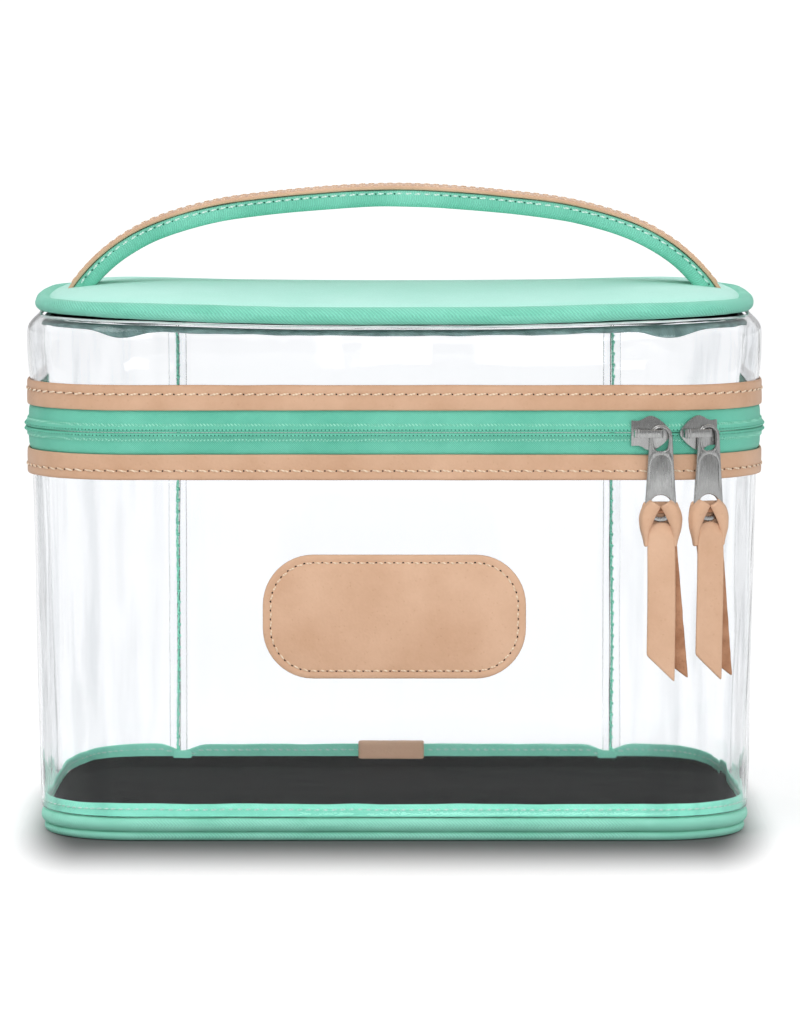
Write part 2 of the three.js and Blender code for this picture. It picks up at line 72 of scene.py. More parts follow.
caseShape = {
    "taper": 3.2,  # walls lean in this far from the zip to the table
    "plumbFrom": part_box("lower_zip_tape")[0].z / mm,
    "tapeShown": 8.3,
    "backHalf": 88.3,  # back panel's half width, to its seams
    "saddle": 2.6,  # the lid's ends stand this much higher than its middle
    "zipShort": 0.2,  # the zip stops this far before the back corners
}


def clamp(value, low=0.0, high=1.0):
    return max(low, min(high, value))


def ease(value, low, high):
    t = clamp((value - low) / (high - low))
    return t * t * (3 - 2 * t)


def outwards(p):
    v = Vector((p.x - clamp(p.x, -cornerX, cornerX), p.y - clamp(p.y, -cornerY, cornerY), 0))
    return v.normalized() if v.length > 1e-9 else v


def taperAt(z):
    plumb = caseShape["plumbFrom"]
    return caseShape["taper"] * max(plumb - z, 0) / plumb


def runAlong(p):
    # distance round the outline from the middle of the front, negative on the left
    x, y = abs(p.x), p.y
    side = -1 if p.x < 0 else 1
    if x > cornerX and y < -cornerY:
        run = cornerX + corner * math.atan2(x - cornerX, -cornerY - y)
    elif x > cornerX and y > cornerY:
        run = cornerX + quarter + 2 * cornerY + corner * math.atan2(y - cornerY, x - cornerX)
    elif y <= -cornerY:
        run = x
    elif y >= cornerY:
        run = halfRound - x
    else:
        run = cornerX + quarter + y + cornerY
    return side * run


def placeAt(run, out=0.0, z=0.0):
    # the point at a distance round the outline, with its outward direction
    side = -1 if run < 0 else 1
    s = abs(run)
    if s < cornerX:
        at, n = Vector((s, -cornerY, z)), Vector((0, -1, 0))
    elif s < cornerX + quarter:
        a = (s - cornerX) / corner
        at, n = Vector((cornerX, -cornerY, z)), Vector((math.sin(a), -math.cos(a), 0))
    elif s < cornerX + quarter + 2 * cornerY:
        at, n = Vector((cornerX, s - cornerX - quarter - cornerY, z)), Vector((1, 0, 0))
    elif s < cornerX + 2 * quarter + 2 * cornerY:
        a = (s - cornerX - quarter - 2 * cornerY) / corner
        at, n = Vector((cornerX, cornerY, z)), Vector((math.cos(a), math.sin(a), 0))
    else:
        at, n = Vector((halfRound - s, cornerY, z)), Vector((0, 1, 0))
    at += n * (corner + out)
    at.x *= side
    n.x *= side
    return at, n


backSeamRun = halfRound - caseShape["backHalf"]
zipRun = cornerX + quarter + 2 * cornerY - caseShape["zipShort"]


def newSheet():
    bm = bmesh.new()
    return bm, bm.loops.layers.uv.new("run")


def faceOut(bm):
    bmesh.ops.recalc_face_normals(bm, faces=bm.faces[:])


def setAt(bm, matrix):
    bmesh.ops.transform(bm, matrix=matrix, verts=bm.verts[:])


def capEnds(bm):
    return bmesh.ops.holes_fill(bm, edges=[e for e in bm.edges if e.is_boundary], sides=0)["faces"]


def drawOut(bm, edges):
    # draws a run of edges out in place, and gives its new points, its faces and its far edges
    made = bmesh.ops.extrude_edge_only(bm, edges=edges)["geom"]
    fresh = [g for g in made if isinstance(g, bmesh.types.BMVert)]
    faces = [g for g in made if isinstance(g, bmesh.types.BMFace)]
    known = set(fresh)
    far = [g for g in made if isinstance(g, bmesh.types.BMEdge) and all(v in known for v in g.verts)]
    return fresh, faces, far


def pushOut(bm, faces, by=(0, 0, 0)):
    # draws faces out by a vector, and gives the points and the faces that moved
    made = bmesh.ops.extrude_face_region(bm, geom=faces)["geom"]
    verts = [g for g in made if isinstance(g, bmesh.types.BMVert)]
    bmesh.ops.translate(bm, vec=by, verts=verts)
    return verts, [g for g in made if isinstance(g, bmesh.types.BMFace)]


def roundedFace(bm, halfWide, halfHigh, radius, segments=10, z=0.0):
    size = Matrix.Diagonal((halfWide, halfHigh, 1, 1))
    bmesh.ops.create_grid(bm, x_segments=1, y_segments=1, size=1,
                          matrix=Matrix.Translation((0, 0, z)) @ size)
    bmesh.ops.bevel(bm, geom=bm.verts[:], offset=radius, offset_type="OFFSET", segments=segments,
                    profile=0.5, affect="VERTICES", material=-1)
    return bm.faces[:]


def rail(bm, out, z, ends="seams", step=5.0, turn=12):
    # the plan outline at one height as a run of edges: "closed", or open at the back "seams"
    # or at the "zip" ends
    roundedFace(bm, halfX + out, halfY + out, corner + out, turn, z)
    bmesh.ops.delete(bm, geom=bm.faces[:], context="FACES_ONLY")
    for edge in [e for e in bm.edges if e.calc_length() > 2 * step]:
        bmesh.ops.subdivide_edges(bm, edges=[edge], cuts=round(edge.calc_length() / step) - 1)
    behind = [v for v in bm.verts if v.co.y > 0]
    gone = []
    if ends == "seams":
        end = caseShape["backHalf"]
        for side in (-1, 1):
            near = min(behind, key=lambda v: abs(v.co.x - side * end))
            near.co.x = side * end
        gone = [v for v in behind if abs(v.co.x) < end - 0.01]
    elif ends == "zip":
        end = cornerY - caseShape["zipShort"]
        for v in behind:
            if abs(v.co.y - cornerY) < 0.01:
                v.co.y = end
        gone = [v for v in behind if v.co.y > end + 0.01]
    bmesh.ops.delete(bm, geom=gone, context="VERTS")
    return bm.edges[:]


def grow(bm, edges, profile, uv):
    # draws the edges out along a profile of (out, z), writing (along, across) in metres
    out, z = profile[0]
    across = 0.0
    for nextOut, nextZ in profile[1:]:
        fresh, faces, edges = drawOut(bm, edges)
        fresh = set(fresh)
        for v in fresh:
            v.co += outwards(v.co) * (nextOut - out) + Vector((0, 0, nextZ - z))
        further = across + math.hypot(nextOut - out, nextZ - z)
        for face in faces:
            runs = [runAlong(loop.vert.co) for loop in face.loops]
            wraps = max(runs) - min(runs) > halfRound
            for loop, run in zip(face.loops, runs):
                if wraps and run < 0:
                    run += 2 * halfRound
                loop[uv].uv = (run * mm, (further if loop.vert in fresh else across) * mm)
        out, z, across = nextOut, nextZ, further
    return edges


def roundSection(centreOut, centreZ, halfOut, halfHigh, points=12, power=1.0):
    # a closed round profile; a power under 1 makes it squarer
    def soft(value):
        return math.copysign(abs(value) ** power, value)
    turns = [2 * math.pi * i / points for i in range(points)] + [0]
    return [(centreOut + halfOut * soft(math.cos(a)), centreZ + halfHigh * soft(math.sin(a))) for a in turns]


def ringMesh(profile, ends="seams", step=5.0, turn=12):
    # a closed section carried round the outline
    bm, uv = newSheet()
    grow(bm, rail(bm, *profile[0], ends, step, turn), profile, uv)
    bmesh.ops.remove_doubles(bm, verts=bm.verts[:], dist=0.001)
    if ends != "closed" and math.dist(profile[0], profile[-1]) < 0.001:
        capEnds(bm)
    faceOut(bm)
    return bm


def roundedSheet(out, z, step):
    # a gridded sheet with the case's plan shape
    bm, uv = newSheet()
    hx, hy = halfX + out, halfY + out
    bmesh.ops.create_grid(bm, x_segments=round(2 * hx / step), y_segments=round(2 * hy / step), size=1,
                          matrix=Matrix.Translation((0, 0, z)) @ Matrix.Diagonal((hx, hy, 1, 1)))
    for v in bm.verts:
        dx, dy = max(abs(v.co.x) - cornerX, 0), max(abs(v.co.y) - cornerY, 0)
        if dx > 0 and dy > 0:
            k = max(dx, dy) / math.hypot(dx, dy)
            v.co.x = math.copysign(cornerX + dx * k, v.co.x)
            v.co.y = math.copysign(cornerY + dy * k, v.co.y)
    flatUv(bm, uv)
    return bm


def flatUv(bm, uv, a=0, b=1):
    for face in bm.faces:
        for loop in face.loops:
            loop[uv].uv = (loop.vert.co[a] * mm, loop.vert.co[b] * mm)


def gridSheet(shapeAt, across, up):
    # a gridded sheet, placed by a function of its shares across and up, each from -1 to 1
    bm, uv = newSheet()
    bmesh.ops.create_grid(bm, x_segments=across, y_segments=up, size=1)
    for v in bm.verts:
        v.co = Vector(shapeAt(v.co.x, v.co.y))
    flatUv(bm, uv, 0, 2)
    faceOut(bm)
    return bm


def fromEdge(p, out):
    # distance of a point from the edge of a sheet set in by -out
    if abs(p.x) > cornerX and abs(p.y) > cornerY:
        return corner + out - math.hypot(abs(p.x) - cornerX, abs(p.y) - cornerY)
    return min(halfX + out - abs(p.x), halfY + out - abs(p.y))


def lidLift(p):
    # the lid's ends stand a little higher than the middle of its front and back
    return caseShape["saddle"] * ease(abs(p.x), 25, 141) * ease(p.z, 178, 198)


def liftLid(bm, bow=0.0):
    for v in bm.verts:
        v.co.z += lidLift(v.co)
        v.co.x -= math.copysign(bow * min(abs(v.co.y) / 45, 1.3) ** 2 * ease(abs(v.co.x), 60, 130), v.co.x)


def ripple(bm, amount, size, seed=0.0, weight=None, squeeze=(1, 1, 1)):
    # small uneven swells along each vertex normal
    bm.normal_update()
    for v in bm.verts:
        p = Vector((v.co.x * squeeze[0], v.co.y * squeeze[1], v.co.z * squeeze[2])) / size
        swell = noise.noise(p + Vector((seed, seed * 0.7, seed * 1.3)))
        v.co += v.normal * swell * amount * (weight(v.co) if weight else 1)


def sharpen(bm, degrees):
    for edge in bm.edges:
        if len(edge.link_faces) == 2 and edge.calc_face_angle(0) > math.radians(degrees):
            edge.smooth = False


def makePiece(bm, name, material, body=None, replaced=(), level=0, sharp=None, solid=0.0):
    # turns the finished mesh into an object, in metres, riding on its body
    if sharp:
        sharpen(bm, sharp)
    bmesh.ops.scale(bm, vec=(mm, mm, mm), verts=bm.verts[:])
    mesh = bpy.data.meshes.new(name)
    bm.to_mesh(mesh)
    bm.free()
    mesh.materials.append(material)
    mesh.polygons.foreach_set("use_smooth", [True] * len(mesh.polygons))
    piece = bpy.data.objects.new(name, mesh)
    scene.collection.objects.link(piece)
    if solid:
        thick = piece.modifiers.new("thickness", "SOLIDIFY")
        thick.thickness = solid * mm
        thick.offset = 0
    if level:
        rounder = piece.modifiers.new("rounder", "SUBSURF")
        rounder.levels = rounder.render_levels = level
    if body:
        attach(piece, body)
    if replaced:
        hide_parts(*replaced)
    return piece


def threadMatrix(at, along, normal, length, width, height):
    # stands a unit ball at a point, drawn out along the thread
    along = along.normalized()
    across = normal.cross(along).normalized()
    basis = Matrix((across, along.cross(across).normalized() * -1, along)).transposed().to_4x4()
    size = Matrix.Diagonal((width / 2, height / 2, length / 2, 1))
    return Matrix.Translation(at) @ basis @ size


def unitMesh(name, make):
    # a small mesh that is copied many times
    bm = bmesh.new()
    make(bm)
    mesh = bpy.data.meshes.new(name)
    bm.to_mesh(mesh)
    bm.free()
    return mesh


def makeThread(bm):
    bmesh.ops.create_uvsphere(bm, u_segments=7, v_segments=5, radius=1)


def makeHole(bm):
    bmesh.ops.create_circle(bm, cap_ends=True, segments=8, radius=1)


unitThread = unitMesh("unitThread", makeThread)
unitHole = unitMesh("unitHole", makeHole)


def addCopy(bm, unit, matrix):
    copied = unit.copy()
    copied.transform(matrix)
    bm.from_mesh(copied)
    bpy.data.meshes.remove(copied)


def addThread(bm, at, along, normal, length, width=0.75, height=0.55):
    addCopy(bm, unitThread, threadMatrix(at, along, normal, length, width, height))


def addHole(bm, at, normal, radius):
    turn = normal.to_track_quat("Z", "Y").to_matrix().to_4x4()
    addCopy(bm, unitHole, Matrix.Translation(at) @ turn @ Matrix.Diagonal((radius, radius, 1, 1)))


def seamRow(name, points, pitch, threadMaterial, body, length=0.72, tilt=0.14, width=0.75, height=0.55,
            holes=None, holeRadius=0.42):
    # one row of stitches along points given as a function of distance, and its needle holes
    threads, pricks = bmesh.new(), bmesh.new()
    for at, along, normal in points(pitch):
        slant = normal.cross(along).normalized() * tilt * pitch
        addThread(threads, at + normal * height * 0.22, along * pitch + slant, normal, pitch * length,
                  width, height)
        # each needle hole is a flat dark disc of painted shade
        if holes:
            addHole(pricks, at + along.normalized() * pitch / 2 + normal * 0.04, normal, holeRadius)
    row = makePiece(threads, name, threadMaterial, body)
    if not holes:
        pricks.free()
        return [row]
    return [row, makePiece(pricks, name + "Holes", holes, body)]


def aroundOutline(out, z, start, stop):
    # places for stitches round the outline, for seamRow
    def points(pitch):
        count = round((stop - start) / pitch)
        for i in range(count):
            run = start + (stop - start) * (i + 0.5) / count
            up = z(run) if callable(z) else z
            at, n = placeAt(run, out, up)
            yield at, Vector((-n.y, n.x, 0)), n
    return points


def colour(red, green, blue):
    # screen colour, 0 to 255, as scene light
    def light(c):
        c /= 255
        return c / 12.92 if c <= 0.04045 else ((c + 0.055) / 1.055) ** 2.4
    return (light(red), light(green), light(blue), 1.0)


def addNode(tree, kind, inputs=None, **settings):
    made = tree.nodes.new("ShaderNode" + kind)
    for key, value in settings.items():
        setattr(made, key, value)
    for key, value in (inputs or {}).items():
        if isinstance(value, bpy.types.NodeSocket):
            tree.links.new(value, made.inputs[key])
        else:
            made.inputs[key].default_value = value
    return made


def calc(tree, operation, *values):
    return addNode(tree, "Math", dict(enumerate(values)), operation=operation).outputs[0]


def mixColours(tree, factor, a, b, mode="MIX"):
    made = addNode(tree, "Mix", {0: factor, 6: a, 7: b}, data_type="RGBA", blend_type=mode)
    return made.outputs[2]


def spread(tree, value, low, high, toLow, toHigh):
    limits = {"Value": value, "From Min": low, "From Max": high, "To Min": toLow, "To Max": toHigh}
    return addNode(tree, "MapRange", limits).outputs["Result"]


def noiseOf(tree, vector, scale, detail, roughness=0.5, out="Fac"):
    inputs = {"Vector": vector, "Scale": scale, "Detail": detail, "Roughness": roughness}
    return addNode(tree, "TexNoise", inputs).outputs[out]


def sized(tree, vector, top, size):
    # the vector times top over size
    inputs = {0: vector, "Scale": calc(tree, "DIVIDE", top, size)}
    return addNode(tree, "VectorMath", inputs, operation="SCALE").outputs[0]


def ribs(tree, place):
    # a sine from 0 to 1
    return calc(tree, "MULTIPLY_ADD", calc(tree, "SINE", place), 0.5, 0.5)


def newGroup(name, inputs, outputs):
    group = bpy.data.node_groups.new(name, "ShaderNodeTree")
    for label, kind, default in inputs:
        socket = group.interface.new_socket(label, in_out="INPUT", socket_type="NodeSocket" + kind)
        if default is not None:
            socket.default_value = default
    for label, kind in outputs:
        group.interface.new_socket(label, in_out="OUTPUT", socket_type="NodeSocket" + kind)
    return group, group.nodes.new("NodeGroupInput").outputs, group.nodes.new("NodeGroupOutput").inputs


def weaveGroup():
    # twill ribs from a vector in metres; Chevron is the width of each run of one slant
    group, given, result = newGroup(
        "twillWeave",
        [("Vector", "Vector", None), ("Pitch", "Float", 0.001), ("Chevron", "Float", 10.0)],
        [("Height", "Float"), ("Shade", "Float")])
    split = addNode(group, "SeparateXYZ", {0: given["Vector"]}).outputs
    across = calc(group, "PINGPONG", split["Y"], given["Chevron"])
    slope = calc(group, "DIVIDE", calc(group, "ADD", split["X"], across), given["Pitch"])
    rib = ribs(group, calc(group, "MULTIPLY", slope, 2 * math.pi))
    counter = calc(group, "DIVIDE", calc(group, "SUBTRACT", split["X"], across), given["Pitch"])
    yarn = ribs(group, calc(group, "MULTIPLY", counter, 3 * math.pi))
    fuzz = noiseOf(group, sized(group, given["Vector"], 1.4, given["Pitch"]), 1.0, 3.0)
    height = calc(group, "ADD", calc(group, "MULTIPLY", rib, 0.62),
                  calc(group, "ADD", calc(group, "MULTIPLY", yarn, 0.16), calc(group, "MULTIPLY", fuzz, 0.3)))
    group.links.new(height, result["Height"])
    group.links.new(spread(group, height, 0.15, 0.95, 0.86, 1.1), result["Shade"])
    return group


def mottleGroup():
    # uneven colour: broad patches and fine specks between two colours
    group, given, result = newGroup(
        "unevenColour",
        [("Vector", "Vector", None), ("Light", "Color", (1, 1, 1, 1)), ("Dark", "Color", (0, 0, 0, 1)),
         ("Size", "Float", 0.02), ("Speck", "Float", 0.3)],
        [("Color", "Color"), ("Mask", "Float")])
    broad = sized(group, given["Vector"], 1.0, given["Size"])
    patches = noiseOf(group, broad, 1.0, 4.0, 0.55)
    specks = noiseOf(group, broad, 18.0, 2.0)
    both = calc(group, "ADD", spread(group, patches, 0.32, 0.68, 0.0, 1.0),
                calc(group, "MULTIPLY", calc(group, "SUBTRACT", specks, 0.5), given["Speck"]))
    mask = calc(group, "MINIMUM", calc(group, "MAXIMUM", both, 0.0), 1.0)
    group.links.new(mixColours(group, mask, given["Light"], given["Dark"]), result["Color"])
    group.links.new(mask, result["Mask"])
    return group


def grainGroup():
    # leather: small pebbles with pores and soft creases
    group, given, result = newGroup(
        "leatherGrain",
        [("Vector", "Vector", None), ("Size", "Float", 0.0011)],
        [("Height", "Float"), ("Pores", "Float")])
    scaled = sized(group, given["Vector"], 1.0, given["Size"])
    bend = noiseOf(group, scaled, 0.6, 2.0, out="Color")
    bent = addNode(group, "VectorMath", {0: scaled, 1: bend}, operation="ADD").outputs[0]
    pebbles = addNode(group, "TexVoronoi", {"Vector": bent, "Scale": 1.0, "Smoothness": 0.4},
                      feature="SMOOTH_F1").outputs["Distance"]
    pores = addNode(group, "TexVoronoi", {"Vector": bent, "Scale": 0.45}, feature="F1").outputs["Distance"]
    pits = spread(group, pores, 0.04, 0.2, 1.0, 0.0)
    creases = calc(group, "MULTIPLY", noiseOf(group, scaled, 0.16, 4.0), 0.5)
    raised = calc(group, "SUBTRACT", creases, calc(group, "MULTIPLY", pebbles, 0.35))
    height = calc(group, "ADD", raised, calc(group, "MULTIPLY", pits, -0.35))
    group.links.new(height, result["Height"])
    group.links.new(pits, result["Pores"])
    return group


weave, mottle, grain = weaveGroup(), mottleGroup(), grainGroup()


def useGroup(tree, group, inputs):
    return addNode(tree, "Group", inputs, node_tree=group).outputs


def newMaterial(name, **fixed):
    # a Principled material whose uniform values are set on its own sockets
    material = bpy.data.materials.new(name)
    material.use_nodes = True
    tree = material.node_tree
    shader = tree.nodes["Principled BSDF"]
    for key, value in fixed.items():
        shader.inputs[key.replace("_", " ")].default_value = value
    return material, tree, shader


def plug(tree, socket, target):
    tree.links.new(socket, target)


def bump(tree, shader, height, distance, strength=1.0):
    node = addNode(tree, "Bump", {"Height": height, "Distance": distance, "Strength": strength})
    plug(tree, node.outputs[0], shader.inputs["Normal"])


def clothMaterial(name, light, dark, pitch=0.0009, chevron=10.0, rough=0.62, depth=0.00016, sheen=0.15,
                  size=0.03, gloss=0.3):
    material, tree, shader = newMaterial(name, Sheen_Weight=sheen, Sheen_Roughness=0.4,
                                         Specular_IOR_Level=gloss)
    coords = addNode(tree, "TexCoord").outputs["UV"]
    cloth = useGroup(tree, weave, {"Vector": coords, "Pitch": pitch, "Chevron": chevron})
    tone = useGroup(tree, mottle, {"Vector": coords, "Light": light, "Dark": dark, "Size": size, "Speck": 0.5})
    plug(tree, mixColours(tree, 1.0, tone["Color"], cloth["Shade"], "MULTIPLY"), shader.inputs["Base Color"])
    plug(tree, spread(tree, cloth["Height"], 0.1, 1.0, rough + 0.1, rough - 0.08), shader.inputs["Roughness"])
    bump(tree, shader, cloth["Height"], depth)
    return material


def leatherMaterial(name, light, dark, pore, rough=0.48, size=0.024, depth=0.00022, edge=None):
    # edge, if given, is the strip's width in metres: its cut edges are darker
    material, tree, shader = newMaterial(name, Specular_IOR_Level=0.4, Sheen_Weight=0.05)
    texture = addNode(tree, "TexCoord").outputs
    coords = texture["Object"]
    hide = useGroup(tree, grain, {"Vector": coords, "Size": 0.0011})
    tone = useGroup(tree, mottle, {"Vector": coords, "Light": light, "Dark": dark, "Size": size, "Speck": 0.35})
    shade = mixColours(tree, calc(tree, "MULTIPLY", hide["Pores"], 0.16), tone["Color"], pore)
    if edge:
        v = addNode(tree, "SeparateXYZ", {0: texture["UV"]}).outputs["Y"]
        away = calc(tree, "ABSOLUTE", calc(tree, "SUBTRACT", v, edge / 2))
        worn = spread(tree, away, edge / 2 - 0.0014, edge / 2 + 0.0002, 0.0, 0.55)
        shade = mixColours(tree, worn, shade, pore)
    plug(tree, shade, shader.inputs["Base Color"])
    plug(tree, spread(tree, tone["Mask"], 0.0, 1.0, rough - 0.05, rough + 0.1), shader.inputs["Roughness"])
    bump(tree, shader, hide["Height"], depth)
    return material


def threadMaterial(name, light, dark):
    material, tree, shader = newMaterial(name, Sheen_Weight=0.15, Specular_IOR_Level=0.4)
    coords = addNode(tree, "TexCoord").outputs["Object"]
    ply = addNode(tree, "TexWave", {"Vector": coords, "Scale": 420.0, "Distortion": 1.5, "Detail": 1.0},
                  bands_direction="DIAGONAL").outputs["Fac"]
    plug(tree, mixColours(tree, ply, light, dark), shader.inputs["Base Color"])
    plug(tree, spread(tree, ply, 0, 1, 0.5, 0.7), shader.inputs["Roughness"])
    bump(tree, shader, ply, 0.00008)
    return material


def vinylMaterial():
    # clear film: glass to the eye, open to the lamps' shadows
    material, tree, shader = newMaterial("clearVinyl", Transmission_Weight=1.0, IOR=1.27, Metallic=0.0)
    coords = addNode(tree, "TexCoord").outputs["Object"]
    drawn = addNode(tree, "Mapping", {"Vector": coords, "Scale": (1, 1, 0.22)}).outputs[0]
    waves = noiseOf(tree, drawn, 30.0, 3.0)
    haze = noiseOf(tree, coords, 14.0, 5.0)
    plug(tree, spread(tree, haze, 0.35, 0.7, 0.015, 0.06), shader.inputs["Roughness"])
    bump(tree, shader, waves, 0.0012, 0.5)
    # painted shade: greyer in drawn-out streaks towards the two ends, where the film curves round the corners
    upright = addNode(tree, "Mapping", {"Vector": coords, "Scale": (1, 1, 0.1)}).outputs[0]
    streaks = spread(tree, noiseOf(tree, upright, 150.0, 2.0, 0.45), 0.5, 0.68, 0.0, 1.0)
    aside = calc(tree, "ABSOLUTE", addNode(tree, "SeparateXYZ", {0: coords}).outputs["X"])
    amount = calc(tree, "MULTIPLY", streaks, spread(tree, aside, 0.07, 0.135, 0.06, 1.0))
    tint = mixColours(tree, amount, (0.966, 0.972, 0.981, 1), (0.84, 0.855, 0.87, 1))
    plug(tree, tint, shader.inputs["Base Color"])
    through = addNode(tree, "BsdfTransparent", {"Color": (0.93, 0.94, 0.95, 1)}).outputs[0]
    shadow = addNode(tree, "LightPath").outputs["Is Shadow Ray"]
    joined = addNode(tree, "MixShader", {0: shadow, 1: shader.outputs[0], 2: through}).outputs[0]
    plug(tree, joined, tree.nodes["Material Output"].inputs["Surface"])
    return material


def metalMaterial():
    material, tree, shader = newMaterial("satinNickel", Metallic=1.0)
    coords = addNode(tree, "TexCoord").outputs["Object"]
    brushed = addNode(tree, "Mapping", {"Vector": coords, "Scale": (1, 1, 0.08)}).outputs[0]
    lines = noiseOf(tree, brushed, 1800.0, 2.0)
    tone = useGroup(tree, mottle, {"Vector": coords, "Light": colour(190, 190, 189),
                                   "Dark": colour(174, 174, 173), "Size": 0.006, "Speck": 0.1})
    plug(tree, tone["Color"], shader.inputs["Base Color"])
    plug(tree, spread(tree, lines, 0.3, 0.7, 0.24, 0.3), shader.inputs["Roughness"])
    bump(tree, shader, lines, 0.000004, 0.1)
    return material


def plainGrainMaterial(name, light, dark, rough, size=0.002, depth=0.0001, **fixed):
    # a fine speckled finish: board, nylon, and the painted shade of needle holes and pits, and the film's
    # painted-highlight edge
    material, tree, shader = newMaterial(name, **fixed)
    coords = addNode(tree, "TexCoord").outputs["Object"]
    tone = useGroup(tree, mottle, {"Vector": coords, "Light": light, "Dark": dark, "Size": size, "Speck": 0.6})
    plug(tree, tone["Color"], shader.inputs["Base Color"])
    plug(tree, spread(tree, tone["Mask"], 0, 1, rough - 0.08, rough + 0.08), shader.inputs["Roughness"])
    bump(tree, shader, tone["Mask"], depth)
    return material


mintLight, mintDark = colour(134, 216, 192), colour(112, 198, 172)
vinyl = vinylMaterial()
canvas = clothMaterial("mintCanvas", mintLight, mintDark)
# painted light: a much lighter copy of the mint for the lid's top, as if lit from above
lidCanvas = clothMaterial("lidCanvas", colour(194, 248, 235), colour(180, 241, 225), pitch=0.0013, size=0.06)
pipingCanvas = clothMaterial("pipingCanvas", colour(142, 226, 202), colour(122, 210, 184), pitch=0.0015,
                             depth=0.00034)
# painted light: a lighter copy of the mint for the base's panel and piping, making up for the bounce light that
# the painted floor shadow takes away
canvasBand = clothMaterial("mintBinding", colour(168, 246, 223), colour(146, 230, 204), pitch=0.0013,
                           chevron=0.0024, depth=0.00026)
tapeCloth = clothMaterial("zipTapeTwill", colour(122, 214, 188), colour(102, 198, 171), pitch=0.0008,
                          depth=0.0002, rough=0.55)
# painted light: a lighter copy of the mint for the bindings inside the case, making up for the dimmer light in
# there
insideBand = clothMaterial("insideBinding", colour(152, 240, 214), colour(130, 224, 196), pitch=0.0011)
# painted highlight: an opaque white ring standing in for the light on the film's turned shoulder
paintedHighlightEdge = plainGrainMaterial("paintedHighlightEdge", colour(250, 252, 252), colour(214, 226, 226), 0.2, size=0.01,
                               depth=0.0002)
# painted shade: a dark teal-grey copy of the binding, for the shade under the lid's piping
shadedBand = clothMaterial("shadedBinding", colour(124, 152, 148), colour(78, 104, 102), pitch=0.0011,
                           rough=0.7, sheen=0.05, size=0.006)
liningCloth = clothMaterial("blackLining", colour(26, 26, 25), colour(14, 14, 14), pitch=0.0006, rough=0.86,
                            depth=0.0001, sheen=0.0, size=0.016, gloss=0.12)
leather = leatherMaterial("naturalLeather", colour(222, 182, 152), colour(208, 166, 135), colour(178, 128, 92))
leatherStripFinish = leatherMaterial("leatherStrip", colour(216, 176, 146), colour(202, 160, 129),
                                     colour(176, 126, 90), edge=0.0116)
suede = leatherMaterial("suede", colour(192, 144, 112), colour(166, 118, 88), colour(136, 92, 66), rough=0.85,
                        size=0.006, depth=0.0005)
creamThread = threadMaterial("creamThread", colour(246, 226, 202), colour(222, 192, 160))
mintThread = threadMaterial("mintThread", colour(126, 218, 190), colour(88, 184, 156))
braidThread = threadMaterial("braidThread", colour(166, 232, 212), colour(118, 204, 178))
# painted light: a lighter copy of the mint thread, making up for the light the tapes and film take from it
seamMint = threadMaterial("seamMint", colour(160, 255, 226), colour(130, 240, 206))
paleThread = threadMaterial("paleThread", colour(222, 244, 236), colour(172, 222, 206))
coilNylon = plainGrainMaterial("coilNylon", colour(120, 206, 182), colour(84, 176, 150), 0.36, depth=0.00004)
# painted shade: dark discs for the shade inside needle holes
needleHoleShade = plainGrainMaterial("needleHoleShade", colour(64, 42, 30), colour(36, 24, 18), 0.8)
# painted shade: dark mint for the shade in the zip's pits and the strap's edge holes
shadedMint = plainGrainMaterial("shadedMint", colour(44, 112, 94), colour(30, 88, 72), 0.8)
fibreBoard = plainGrainMaterial("fibreBoard", colour(160, 146, 126), colour(136, 122, 104), 0.88, size=0.003)
nickel = metalMaterial()
print("finishes made")


def floorPaper(studio):
    # white paper with a painted soft shadow close round the base, and a painted glow that only the eye
    # sees, so it stays white further off
    paper, tree, shader = newMaterial("floorPaper", Roughness=0.9, Specular_IOR_Level=0.1)
    coords = addNode(tree, "TexCoord").outputs["Object"]
    tone = useGroup(tree, mottle, {"Vector": coords, "Light": (0.86, 0.865, 0.87, 1),
                                   "Dark": (0.84, 0.845, 0.85, 1), "Size": 0.3, "Speck": 0.1})
    at = addNode(tree, "SeparateXYZ", {0: coords}).outputs

    def past(axis, half):
        return calc(tree, "MAXIMUM", calc(tree, "SUBTRACT", calc(tree, "ABSOLUTE", at[axis]), half), 0.0)
    aside, ahead = [past(axis, half) for axis, half in zip("XY", studio["shadowHalf"])]
    aside = calc(tree, "POWER", calc(tree, "MULTIPLY", aside, studio["shadowSide"]), 2.0)
    away = calc(tree, "SQRT", calc(tree, "ADD", aside, calc(tree, "POWER", ahead, 2.0)))
    clear = addNode(tree, "MapRange", {"Value": away, "From Min": studio["shadowFrom"],
                                       "From Max": studio["shadowTo"]},
                    interpolation_type="SMOOTHSTEP").outputs["Result"]
    # painted shadow: the paper's colour runs to the dark shadow colour close round the base
    plug(tree, mixColours(tree, clear, studio["shadow"], tone["Color"]), shader.inputs["Base Color"])
    rays = addNode(tree, "LightPath").outputs
    seen = calc(tree, "MAXIMUM", rays["Is Camera Ray"], rays["Is Transmission Ray"])
    near = spread(tree, at["Y"], 0.0, 0.4, studio["glow"], studio["glow"] + studio["behind"])
    lift = calc(tree, "ADD", near, spread(tree, at["Y"], 0.6, 4.0, 0.0, studio["farGlow"]))
    shader.inputs["Emission Color"].default_value = (1, 1, 1, 1)
    # the painted glow is cut away inside the painted shadow too
    glow = calc(tree, "MULTIPLY", calc(tree, "MULTIPLY", lift, clear), seen)
    plug(tree, glow, shader.inputs["Emission Strength"])
    return paper


